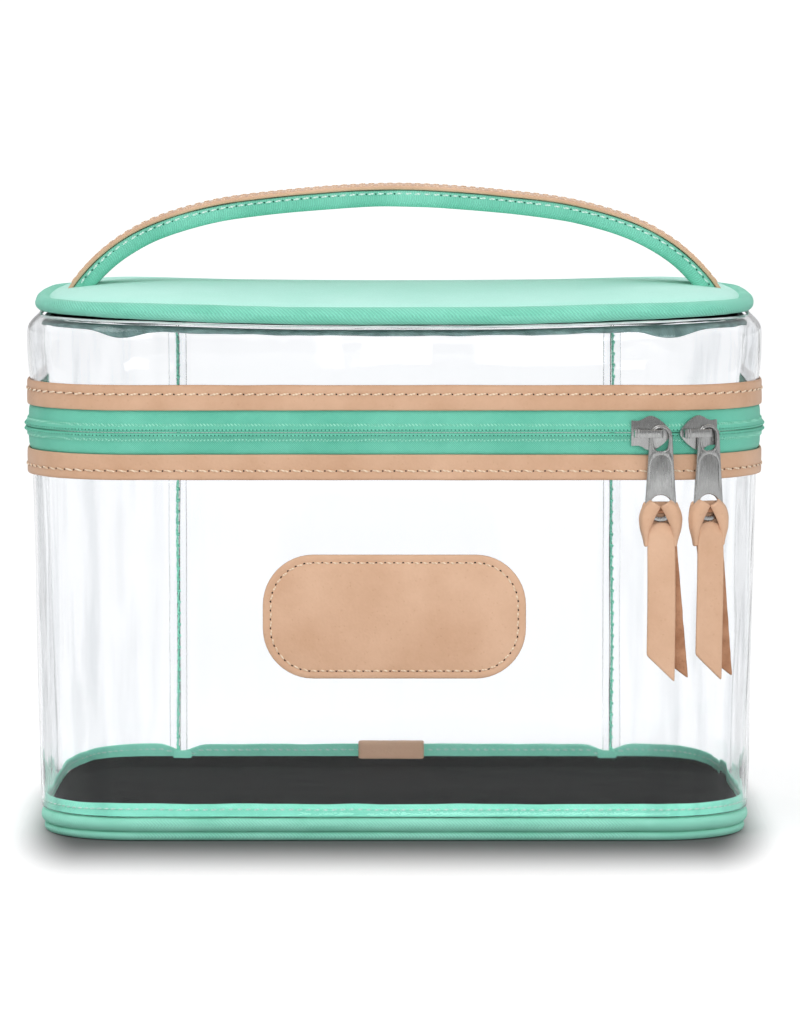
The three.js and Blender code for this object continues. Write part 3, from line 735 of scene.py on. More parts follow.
def makeStudio():
    studio = {"lens": 211.34, "place": (0.00214, -2.35908, 0.33813), "tilt": 84.708, "floorHalf": 90.0,
              "sky": 0.64, "front": 0.6, "key": 9.0, "fill": 14.0, "rim": 6.0, "glow": 0.34, "farGlow": 0.22,
              "behind": -0.09, "shadowHalf": (0.118, 0.04), "shadowSide": 4.2, "shadowFrom": 0.036,
              "shadowTo": 0.145, "shadow": (0.14, 0.14, 0.14, 1)}
    lens = bpy.data.cameras.new("camera")
    lens.lens = studio["lens"]
    lens.sensor_width = 36
    lens.clip_end = 300
    camera = bpy.data.objects.new("camera", lens)
    camera.location = studio["place"]
    camera.rotation_euler = (math.radians(studio["tilt"]), 0, 0)
    scene.collection.objects.link(camera)
    scene.camera = camera
    for name, place, size, power in (
            ("keyLamp", (-0.7, -0.9, 1.9), 0.9, studio["key"]),
            ("fillLamp", (0.35, -2.0, 0.55), 0.8, studio["fill"]),
            ("backLamp", (0.3, 1.5, 1.8), 1.2, studio["rim"])):
        light = bpy.data.lights.new(name, "AREA")
        light.size = size
        light.energy = power
        lamp = bpy.data.objects.new(name, light)
        lamp.location = place
        lamp.rotation_euler = (Vector((0, 0, 0.12)) - Vector(place)).to_track_quat("-Z", "Y").to_euler()
        lamp.visible_glossy = name != "fillLamp"  # it would glare in the nickel
        scene.collection.objects.link(lamp)
    world = bpy.data.worlds.new("studio")
    scene.world = world
    world.use_nodes = True
    tree = world.node_tree
    way = addNode(tree, "SeparateXYZ", {0: addNode(tree, "TexCoord").outputs["Generated"]}).outputs
    level = spread(tree, way["Z"], -0.1, 0.8, 0.6 * studio["sky"], 1.3 * studio["sky"])
    front = spread(tree, way["Y"], -0.95, -0.35, studio["front"], 1.0)  # the room is darker on the front side
    plug(tree, calc(tree, "MULTIPLY", level, front), tree.nodes["Background"].inputs["Color"])
    tree.nodes["Background"].inputs["Strength"].default_value = 1.0
    bm = bmesh.new()
    bmesh.ops.create_grid(bm, x_segments=2, y_segments=2, size=studio["floorHalf"] / mm)
    floor = makePiece(bm, "floor", floorPaper(studio))
    scene.view_settings.view_transform = "Standard"


makeStudio()
print("studio made")


def cornersCut(out):
    # what the four rounded corners take off a sheet's area, in square metres
    return (4 - math.pi) * ((corner + out) * mm) ** 2


def makeBase():
    base = {"panelEdge": -6.0, "panelTop": 3.4, "pipingOut": -7.3, "pipingZ": 6.2, "pipingHalf": (2.75, 2.95),
            "floorOut": -7.1, "floorZ": 8.6, "bindingOut": -6.6, "bindingLow": 9.1, "bindingHigh": 14.4,
            "backRise": 3.4}
    edge, top = base["panelEdge"], base["panelTop"]
    bm, uv = newSheet()
    profile = [(edge - 4, 0.05), (edge - 1.6, 0.1), (edge - 0.5, 0.5), (edge, 1.5), (edge + 0.05, 2.2),
               (edge - 0.35, top - 0.3), (edge - 1.6, top), (edge - 4, top)]
    grow(bm, rail(bm, *profile[0], "closed"), profile, uv)
    for face in capEnds(bm):
        for loop in face.loops:
            loop[uv].uv = (loop.vert.co.x * mm, loop.vert.co.y * mm)
    faceOut(bm)
    makePiece(bm, "basePanel", canvasBand, "case", ["base_panel"])

    section = roundSection(base["pipingOut"], base["pipingZ"], *base["pipingHalf"], 12)
    bm = ringMesh(section, ends="closed", step=4)
    ripple(bm, 0.25, 9, 3.1)
    makePiece(bm, "basePiping", canvasBand, "case", ["base_piping"], level=1)

    def drawnIn(p):
        # the binding and lining round off more than the walls at the back
        p.x *= 1 - 0.02 * ease(p.y, -10, 60)

    # black lining, laid on its board, slightly wrinkled
    bm = roundedSheet(base["floorOut"], base["floorZ"], 4)
    for v in bm.verts:
        away = fromEdge(v.co, base["floorOut"])
        creases = abs(noise.noise(Vector((v.co.x / 34, v.co.y / 20, 4.2)))) * 1.8
        fine = noise.noise(Vector((v.co.x / 11 + v.co.y / 30, v.co.y / 13, 1.7))) * 0.35
        turned = 0.9 + 3.3 * ease(v.co.y, 38, 72)  # its edge turns up to the binding along the back
        v.co.z += (0.2 - creases * 0.5 + fine) * ease(away, 2, 14) + turned * (1 - ease(away, 0, 4.5))
        drawnIn(v.co)
    lining = makePiece(bm, "baseLining", liningCloth, "case", ["base_lining"], level=1, solid=0.7)
    wide, deep = 2 * (halfX + base["floorOut"]) * mm, (2 * (halfY + base["floorOut"]) + 1.4) * mm
    wide * deep - cornersCut(base["floorOut"])

    # binding over the seam allowance, turned up inside the wall, higher along the back
    low, high, out = base["bindingLow"], base["bindingHigh"], base["bindingOut"]

    def rise(p):
        back = ease(p.y, 40, 74) * base["backRise"]
        dip = ease(8 - abs(abs(p.x) - caseShape["backHalf"]), 0, 8) * base["backRise"] * 0.95 if p.y > 60 else 0
        return back - dip + 0.35 * noise.noise(Vector((p.x / 14, p.y / 14, 0.4)))
    middle = (low + high) / 2
    profile = roundSection(out, middle, 0.75, (high - low) / 2, 12, 0.6)
    bm = ringMesh(profile, ends="closed", step=4)
    for v in bm.verts:
        up = rise(v.co)
        v.co -= outwards(v.co) * 0.022 * (v.co.z - middle) * 8
        v.co.z += up * (0.8 + 0.2 * ease(v.co.z, low, high))
    ripple(bm, 0.22, 7, 8.8)
    for v in bm.verts:
        drawnIn(v.co)
    makePiece(bm, "baseBinding", insideBand, "case", ["base_binding"], level=1)

    def stitchZ(run):
        at, n = placeAt(run, out)
        return middle + 0.5 + 0.9 * rise(at)
    for name, side in (("baseBindingStitchesOuter", 0.86), ("baseBindingStitchesInner", -0.92)):
        around = aroundOutline(out + side, stitchZ, -halfRound, halfRound)

        def row(pitch, around=around):
            for at, along, normal in around(pitch):
                drawnIn(at)
                yield at, along, normal
        seamRow(name, row, 3.3, paleThread, "case", length=0.66, tilt=0.1, width=0.7)

    # a small folded flap of binding at the foot of each back seam tape
    flap = {"half": 3.9, "halfHigh": 2.1, "z": 12.6, "in": 1.35}
    for side, word in ((-1, "left"), (1, "right")):
        def flapAt(across, up, side=side):
            x = side * caseShape["backHalf"] * 0.98 + across * flap["half"]
            z = flap["z"] + up * flap["halfHigh"]
            uneven = 0.15 * noise.noise(Vector((x / 3, z / 2, side)))
            return (x, halfY + out - flap["in"] + 0.3 * up ** 2 + uneven, z)
        bm = gridSheet(flapAt, 8, 6)
        makePiece(bm, f"{word}BindingFlap", insideBand, "case", level=1, solid=0.7)

    # leather tab folded over the binding where its two ends meet
    tab = {"left": -15.0, "right": 12.0, "low": 11.4, "high": 17.9, "y": halfY + out, "stand": 1.5,
           "crown": 0.6}

    def tabAt(across, fold):
        bend = fold * 1.4  # the first 0.4 each way goes round the binding's top edge
        turned = min(abs(bend), 0.4) / 0.4
        reach = clamp(abs(bend) - 0.4, 0, 1)
        y = tab["y"] + math.copysign(turned * tab["stand"], bend)
        z = tab["high"] - reach * (tab["high"] - tab["low"]) + tab["crown"] * (1 - turned)
        x = tab["left"] + (across + 1) / 2 * (tab["right"] - tab["left"])
        return (x, y, z + 0.12 * noise.noise(Vector((x / 5, 2, 3))))
    bm = gridSheet(tabAt, 12, 14)
    makePiece(bm, "bindingJointTab", leather, "case", ["binding_joint_tab"], level=1, solid=1.3)
    board = frame["nodes"]["base_board"]
    board.data.materials.clear()
    board.data.materials.append(fibreBoard)


makeBase()
print("base made")


def wallWaves(p, amount=1.0):
    # soft upright buckles, strongest round the corners
    run = runAlong(p)
    aside = min(abs(abs(run) - cornerX - quarter / 2), abs(abs(run) - cornerX - 1.5 * quarter - 2 * cornerY))
    bent = 0.25 + ease(60 - aside, 0, 55)
    broad = noise.noise(Vector((run / 11, p.z / 75, 2.0)))
    narrow = noise.noise(Vector((run / 5.5, p.z / 50, 7.0)))
    return amount * bent * (broad + 0.5 * narrow)


def makeWalls():
    wall = {"out": -2.3, "thickness": 0.8, "foot": 9.1, "lowerTop": 148.9, "upperFoot": 166.1, "top": 197.9,
            "shoulder": 5.6, "shoulderIn": 4.4, "bulge": 1.7, "wave": 0.75, "backTop": 197.7, "parting": 0.3}
    seam = {"half": 3.5, "foot": 12, "high": 179, "threadFrom": 13.5, "threadTo": 189, "pitch": 4.6,
            "thickness": 0.7}
    out = wall["out"]

    def shoulder(z):
        t = clamp((z - wall["top"] + wall["shoulder"]) / wall["shoulder"])
        return wall["shoulderIn"] * (1 - math.sqrt(max(1 - t * t, 0))) if t > 0 else 0

    def heights(low, high, count):
        return [low + (high - low) * i / count for i in range(count + 1)]

    def bulge(z):
        return wall["bulge"] * ease(z, 168, 186) * (1 - ease(z, 192.5, wall["top"]))

    def sheet(levels):
        bm, uv = newSheet()
        profile = [(out - taperAt(z) - shoulder(z) + bulge(z), z) for z in levels]
        grow(bm, rail(bm, *profile[0], "seams", 4.5, 14), profile, uv)
        behindZip = []
        for face in bm.faces:
            middle = face.calc_center_median()
            if wall["lowerTop"] < middle.z < wall["upperFoot"] and middle.y < cornerY:
                behindZip.append(face)
        bmesh.ops.delete(bm, geom=behindZip, context="FACES")
        return bm

    def buckle(bm, low, high):
        for v in bm.verts:
            hold = min(ease(v.co.z, low, low + 14), ease(high - v.co.z, 0, 14))
            ends = ease(backSeamRun - abs(runAlong(v.co)), 0, 12)
            v.co += outwards(v.co) * wallWaves(v.co, wall["wave"]) * hold * ends

    bm = sheet(heights(wall["foot"], wall["lowerTop"], 30) + [151.7, 154.5, zipZ - wall["parting"]])
    buckle(bm, wall["foot"], wall["lowerTop"])
    faceOut(bm)
    makePiece(bm, "lowerWall", vinyl, "case", ["lower_wall"], level=1, solid=wall["thickness"])

    bm = sheet([zipZ + wall["parting"], 160.6, 163.4] + heights(wall["upperFoot"], 190, 6)
               + [191.5, 193, 194.4, 195.6, 196.6, 197.4, 197.8])
    buckle(bm, wall["upperFoot"], wall["top"])
    liftLid(bm)
    faceOut(bm)
    makePiece(bm, "upperWall", vinyl, "lid", ["upper_wall"], level=1, solid=wall["thickness"])

    # the back panel is one sheet, which on the real case bends as the lid's hinge; here it is built shut and
    # does not bend
    end = caseShape["backHalf"] - 0.3

    def backAt(across, up):
        x, z = across * end, wall["foot"] + (up + 1) / 2 * (wall["backTop"] - wall["foot"])
        waves = 0.5 * noise.noise(Vector((x / 26, z / 60, 5.0))) * ease(end - abs(x), 0, 12) * ease(z, 12, 30)
        return (x, halfY + out - taperAt(z) - shoulder(z) + bulge(z) * 0.5 + waves, z)
    bm = gridSheet(backAt, 36, 44)
    liftLid(bm)
    back = makePiece(bm, "backPanel", vinyl, None, ["back_panel_lower", "back_panel_upper"],
                     level=1, solid=wall["thickness"])
    bendAtHinge(back)

    # clear tapes over the back seams, sewn down their middle with a knotted mint thread
    for side, word in ((-1, "left"), (1, "right")):
        middle = side * caseShape["backHalf"]

        def tapeAt(across, up, middle=middle, side=side):
            z = seam["foot"] + (up + 1) / 2 * seam["high"]
            curl = 0.35 * across ** 2 - 0.25
            uneven = 0.2 * noise.noise(Vector((side * 9, z / 12, 1.0)))
            return (middle + across * seam["half"], halfY + out - 0.95 - taperAt(z) + uneven - curl, z)
        replaced = [f"{word}_seam_strip_lower", f"{word}_seam_strip_upper"]
        tape = makePiece(gridSheet(tapeAt, 6, 60), f"{word}SeamTape", vinyl, None, replaced,
                         solid=seam["thickness"])
        bendAtHinge(tape)
        threads = bmesh.new()
        pitch = seam["pitch"]
        for face, tilt in ((-1.95, 0.1), (0.75, 0.0)):
            z = seam["threadFrom"]
            while z < seam["threadTo"]:
                sway = 0.22 * math.sin(z * 1.3)
                at = Vector((middle + sway, halfY + out - taperAt(z) + face, z))
                normal = Vector((0, math.copysign(1, face), 0))
                addThread(threads, at, Vector((tilt, 0, 1)), normal, pitch * 1.04, 1.0, 0.8)
                knot = at + Vector((0.2, 0, pitch / 2))
                addThread(threads, knot, Vector((0.8, 0, 1)), normal, 1.7, 1.45, 1.0)
                z += pitch
        bendAtHinge(makePiece(threads, f"{word}SeamThread", seamMint, None))


def bendAtHinge(piece):
    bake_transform(piece)


makeWalls()
print("walls made")


def makeZip():
    # tape faces are (distance from the zip line, height over the strips' faces)
    zipper = {"face": [(14.3, -2.4), (10, -2.2), (8.7, -1.8), (8.2, -1.05), (7, -0.8), (5.6, -0.62),
                       (4.2, -0.6), (3.2, -0.52), (2.5, -0.2), (1.9, 0.35), (1.4, 0.72), (0.85, 0.88),
                       (0.42, 0.74), (0.17, 0.4), (0.05, -0.1), (0.03, -1.2)],
              "thin": 0.8, "coilPitch": 1.5, "coilIn": 1.5, "coilAt": 1.4, "holePitch": 1.45, "lockAt": 1.05,
              "stripThickness": 1.6, "stripHigh": 9.9, "seamPitch": 4.4, "seamFromEdge": 3.6, "seamShort": 1.5}
    for side, word, body in ((-1, "lower", "case"), (1, "upper", "lid")):
        def at(distance):
            return zipZ + side * distance

        def loose(p):
            away = abs(p.z - zipZ)
            return ease(6 - away, 0, 5) * ease(away, 0.3, 1.5)

        outer = [(out, at(distance)) for distance, out in zipper["face"]]
        inner = [(out - zipper["thin"], at(distance + 0.1)) for distance, out in reversed(zipper["face"][:-5])]
        bm = ringMesh(outer + inner + [outer[0]], "zip", step=4)
        ripple(bm, 0.2, 7, 2.0 + side, weight=loose)
        makePiece(bm, f"{word}ZipTape", tapeCloth, body, [f"{word}_zip_tape"], level=1)

        # lock stitches by the line, between them small pits of painted shade, and a paler braid further out
        lock, pits, braid = bmesh.new(), bmesh.new(), bmesh.new()
        locks = aroundOutline(0.8, at(zipper["lockAt"]), -zipRun, zipRun)
        for place, along, normal in locks(zipper["holePitch"]):
            addThread(lock, place, along * 0.9 + Vector((0, 0, 0.45 * side)), normal, 1.05, 0.62, 0.42)
            addHole(pits, place + along * zipper["holePitch"] / 2 + normal * 0.06, normal, 0.26)
        for slant, distance in ((0.75, 2.45), (-0.75, 2.95)):
            for place, along, normal in aroundOutline(-0.3, at(distance), -zipRun, zipRun)(1.3):
                addThread(braid, place, along + Vector((0, 0, slant * side)), normal, 1.5, 0.62, 0.55)
        makePiece(lock, f"{word}ZipStitches", mintThread, body)
        makePiece(pits, f"{word}ZipPits", shadedMint, body)
        makePiece(braid, f"{word}ZipBraid", braidThread, body)

        # the coil itself, loop by loop, on the inside
        coil = bmesh.new()
        shift = zipper["coilPitch"] / 2 if side > 0 else 0  # the two sides' loops mesh across the line
        loops = aroundOutline(-zipper["coilIn"], at(zipper["coilAt"]), shift - zipRun, zipRun - shift)
        for place, along, normal in loops(zipper["coilPitch"]):
            addThread(coil, place, Vector((0, 0, 1)) + along * 0.06 * side, normal, 3.0, 0.66, 2.0)
        makePiece(coil, f"{word}ZipCoil", coilNylon, body, [f"{word}_zip_coil"])

        # leather strip with one row of stitches, in a slight groove away from the zip
        near, far = caseShape["tapeShown"], caseShape["tapeShown"] + zipper["stripHigh"]
        seam = far - zipper["seamFromEdge"]
        thick = zipper["stripThickness"]
        section = [(-thick, near + 0.1), (-0.45, near), (-0.08, near + 0.35), (0.02, near + 1.2),
                   (0.0, seam - 1.1), (-0.2, seam - 0.35), (-0.2, seam + 0.35), (0.0, seam + 1.1),
                   (-0.02, far - 0.9), (-0.15, far - 0.3), (-0.55, far), (-thick, far - 0.1),
                   (-thick, near + 0.1)]
        bm = ringMesh([(out, at(distance)) for out, distance in section], "zip", step=5)
        ripple(bm, 0.16, 16, 5.0 + side)
        makePiece(bm, f"{word}LeatherStrip", leatherStripFinish, body, [f"{word}_leather_strip"],
                  level=1)
        sewn = zipRun - zipper["seamShort"]
        seamRow(f"{word}StripStitches", aroundOutline(-0.12, at(seam), -sewn, sewn), zipper["seamPitch"],
                creamThread, body, length=0.8, tilt=0.2 * side, width=0.8, height=0.62,
                holes=needleHoleShade, holeRadius=0.34)


makeZip()
print("zip and strips made")


def swell(piece, pinned, cap, pressure, frames=20, voxel=4.0):
    # pads a closed mesh out with the cloth solver, then bakes the result into it
    bpy.context.view_layer.objects.active = piece
    piece.select_set(True)
    piece.data.remesh_voxel_size = voxel * mm
    bpy.ops.object.voxel_remesh()
    rest = [v.co.copy() for v in piece.data.vertices]
    group = piece.vertex_groups.new(name="held")
    for i, co in enumerate(rest):
        group.add([i], pinned(co), "REPLACE")
    cloth = piece.modifiers.new("cloth", "CLOTH")
    cloth.settings.use_pressure = True
    cloth.settings.uniform_pressure_force = pressure
    cloth.settings.mass = 0.3
    cloth.settings.quality = 5
    cloth.settings.tension_stiffness = cloth.settings.compression_stiffness = 15
    cloth.settings.bending_stiffness = 0.8
    cloth.settings.vertex_group_mass = "held"
    cloth.settings.effector_weights.gravity = 0
    cloth.point_cache.frame_start, cloth.point_cache.frame_end = 1, frames
    for number in range(1, frames + 1):
        scene.frame_set(number)
    shown = piece.evaluated_get(bpy.context.evaluated_depsgraph_get())
    moved = [v.co.copy() for v in shown.data.vertices]
    piece.modifiers.remove(cloth)
    scene.frame_set(1)
    for v, co, start in zip(piece.data.vertices, moved, rest):
        step = co - start
        if step.length > cap * mm:
            step *= cap * mm / step.length
        v.co = start + step
    piece.vertex_groups.clear()
    piece.select_set(False)


def makeLid():
    lid = {"panelOut": -6.4, "panelLow": 200.5, "panelTop": 203.9, "crown": 3.4, "crownRun": 16, "cap": 2.6,
           "pressure": 4.0, "pipingOut": -3.6, "pipingZ": 201.7, "pipingHalf": (3.45, 3.45),
           "liningOut": -8.6, "liningZ": 196.9, "endIn": 1.6, "bow": 1.8,
           "bindingLow": 193.9, "bindingHigh": 196.3, "edgeOut": -4.1, "edgeZ": 197.3}
    # padded panel: a crowned slab, swelled by the solver
    bm = roundedSheet(lid["panelOut"], lid["panelTop"], 5)
    underside = bm.verts[:]
    for v in pushOut(bm, bm.faces[:])[0]:
        share = ease(fromEdge(v.co, lid["panelOut"]), 0, lid["crownRun"])
        v.co.z = lid["panelTop"] + lid["crown"] * math.sqrt(share)
    for v in underside:
        v.co.z = lid["panelLow"]
    liftLid(bm, lid["bow"])
    faceOut(bm)
    panel = makePiece(bm, "lidPanel", lidCanvas, None, ["lid_panel"])
    low = lid["panelLow"] + 2.2

    def held(co):
        p = co / mm
        edge = 1 - ease(fromEdge(p, lid["panelOut"]), 2, 12)
        return 1.0 if p.z - lidLift(p) < low else edge
    swell(panel, held, lid["cap"], lid["pressure"])
    print("lid panel swelled")
    rounded = bmesh.new()
    rounded.from_mesh(panel.data)
    for _ in range(2):
        bmesh.ops.smooth_vert(rounded, verts=rounded.verts[:], factor=0.5, use_axis_x=True, use_axis_y=True,
                              use_axis_z=True)
    uv = rounded.loops.layers.uv.verify()
    flatUv(rounded, uv)
    for face in rounded.faces:
        for loop in face.loops:
            loop[uv].uv = loop[uv].uv / mm
    rounded.to_mesh(panel.data)
    rounded.free()
    panel.data.polygons.foreach_set("use_smooth", [True] * len(panel.data.polygons))
    rounder = panel.modifiers.new("rounder", "SUBSURF")
    rounder.levels = rounder.render_levels = 1
    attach(panel, "lid")

    section = roundSection(lid["pipingOut"], lid["pipingZ"], *lid["pipingHalf"], 14)
    bm = ringMesh(section, ends="closed", step=4)
    for v in bm.verts:
        thinner = 1 - 0.16 * ease(abs(v.co.x), 60, 141)
        v.co.z = lid["pipingZ"] + (v.co.z - lid["pipingZ"]) * thinner
        v.co.x *= 1 - lid["endIn"] / halfX * ease(abs(v.co.x), 60, 138)
    liftLid(bm, lid["bow"])
    ripple(bm, 0.22, 12, 6.3)
    makePiece(bm, "lidPiping", pipingCanvas, "lid", ["lid_piping"], level=1)

    bm = roundedSheet(lid["liningOut"], lid["liningZ"], 5)
    for v in bm.verts:
        v.co.z += 0.3 * noise.noise(Vector((v.co.x / 25, v.co.y / 18, 9.0)))
    liftLid(bm)
    lining = makePiece(bm, "lidLining", liningCloth, "lid", ["lid_lining", "lid_board"], level=1,
                       solid=0.7)
    wide, deep = 2 * (halfX + lid["liningOut"]) * mm, 2 * (halfY + lid["liningOut"]) * mm
    wide * deep - cornersCut(lid["liningOut"])

    # binding under the piping, painted dark teal-grey for the shade seen there through the film
    low, high = lid["bindingLow"], lid["bindingHigh"]
    profile = [(-4.75, low + 0.3), (-4.5, low), (-4.3, low + 0.4), (-4.8, low + 1.6), (-6.2, high - 0.4),
               (-8.2, high), (-9.0, high - 0.5), (-7.0, high - 1.3), (-5.6, low + 1.5), (-5.1, low + 0.5),
               (-4.75, low + 0.3)]
    bm = ringMesh(profile, ends="closed", step=4)
    for v in bm.verts:
        wave = 0.6 * noise.noise(Vector((v.co.x / 10, v.co.y / 10, 3.0)))
        sag = 2.4 * ease(13 - abs(abs(v.co.x) - 107), 0, 11)  # the vinyl pulls it down next to the corners
        v.co.z += (wave - sag) * ease(high - v.co.z, 0, 2.2)
    liftLid(bm, lid["bow"])
    makePiece(bm, "lidBinding", shadedBand, "lid", ["lid_binding"], level=1)

    # the vinyl's turned-in edge as an opaque white ring: a painted highlight along the film's shoulder
    section = roundSection(lid["edgeOut"], lid["edgeZ"], 0.7, 0.55, 10)
    bm = ringMesh(section, ends="closed", step=4)
    for v in bm.verts:
        v.co.z += 0.5 * noise.noise(Vector((v.co.x / 22, v.co.y / 22, 6.0)))
    liftLid(bm, lid["bow"])
    makePiece(bm, "upperWallEdge", paintedHighlightEdge, "lid", level=1)


makeLid()
print("lid made")


def patchMatrix(depth):
    # stands a flat shape on the leaning front wall
    low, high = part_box("front_patch")
    middle = (low.z + high.z) / 2 / mm
    lean = math.atan2(caseShape["taper"], caseShape["plumbFrom"])
    face = -halfY + 1.9 + taperAt(middle)
    upright = Matrix.Translation((0, face, middle)) @ Matrix.Rotation(math.pi / 2 + lean, 4, "X")
    return upright @ Matrix.Translation((0, 0, depth))


def makePatch():
    patch = {"halfWide": 50.2, "halfHigh": 23.8, "radius": 19.5, "thickness": 1.8, "seamIn": 3.1, "pitch": 3.4}
    bm, uv = newSheet()
    foot = 0.5  # its lowest outline is this much smaller than its widest
    faces = roundedFace(bm, patch["halfWide"] - foot, patch["halfHigh"] - foot, patch["radius"] - foot, 12)
    # each step sets the middle face out or in, and lifts it
    steps = [(foot, 0.35), (0.0, 0.7), (-0.15, 0.45), (-0.35, 0.2), (-1.6, 0.08), (-0.35, -0.16), (-0.35, 0.0),
             (-0.6, 0.16), (-3.0, 0.05)]
    for further, up in steps:
        if further < 0:
            bmesh.ops.inset_region(bm, faces=faces, thickness=-further, depth=up, use_even_offset=True)
            continue
        moved, faces = pushOut(bm, faces, (0, 0, up))
        for v in moved:
            v.co.x *= 1 + further / patch["halfWide"]
            v.co.y *= 1 + further / patch["halfHigh"]
    flatUv(bm, uv)
    faceOut(bm)
    setAt(bm, patchMatrix(0.1))
    makePiece(bm, "frontPatch", leather, "case", ["front_patch"], sharp=70)

    wide, high = patch["halfWide"] - patch["seamIn"], patch["halfHigh"] - patch["seamIn"]
    radius = patch["radius"] - patch["seamIn"]
    place = patchMatrix(patch["thickness"] - 0.02)
    turn = place.to_3x3()
    straightX, straightY, arc = 2 * (wide - radius), 2 * (high - radius), radius * math.pi / 2
    total = 2 * (straightX + straightY) + 4 * arc

    def points(pitch):
        count = round(total / pitch)
        for i in range(count):
            s = total * i / count
            at, along = seamPlace(s, wide, high, radius, straightX, straightY, arc)
            yield place @ at, turn @ along, turn @ Vector((0, 0, 1))
    seamRow("patchStitches", points, patch["pitch"], creamThread, "case", length=0.66, tilt=-0.16,
            width=0.75, height=0.55, holes=needleHoleShade, holeRadius=0.45)


def seamPlace(s, wide, high, radius, straightX, straightY, arc):
    # a point and direction at distance s round a rounded rectangle in its own plane
    for k in range(4):
        straight = straightX if k % 2 == 0 else straightY
        turned = Matrix.Rotation(k * math.pi / 2, 4, "Z")
        halfLong, halfShort = (wide, high) if k % 2 == 0 else (high, wide)
        if s < straight:
            return turned @ Vector((s - straight / 2, -halfShort, 0)), turned.to_3x3() @ Vector((1, 0, 0))
        s -= straight
        if s < arc:
            a = s / radius
            centre = Vector((halfLong - radius, -halfShort + radius, 0))
            return (turned @ (centre + radius * Vector((math.sin(a), -math.cos(a), 0))),
                    turned.to_3x3() @ Vector((math.cos(a), math.sin(a), 0)))
        s -= arc
    return Vector((-straightX / 2, -high, 0)), Vector((1, 0, 0))


makePatch()
print("patch made")


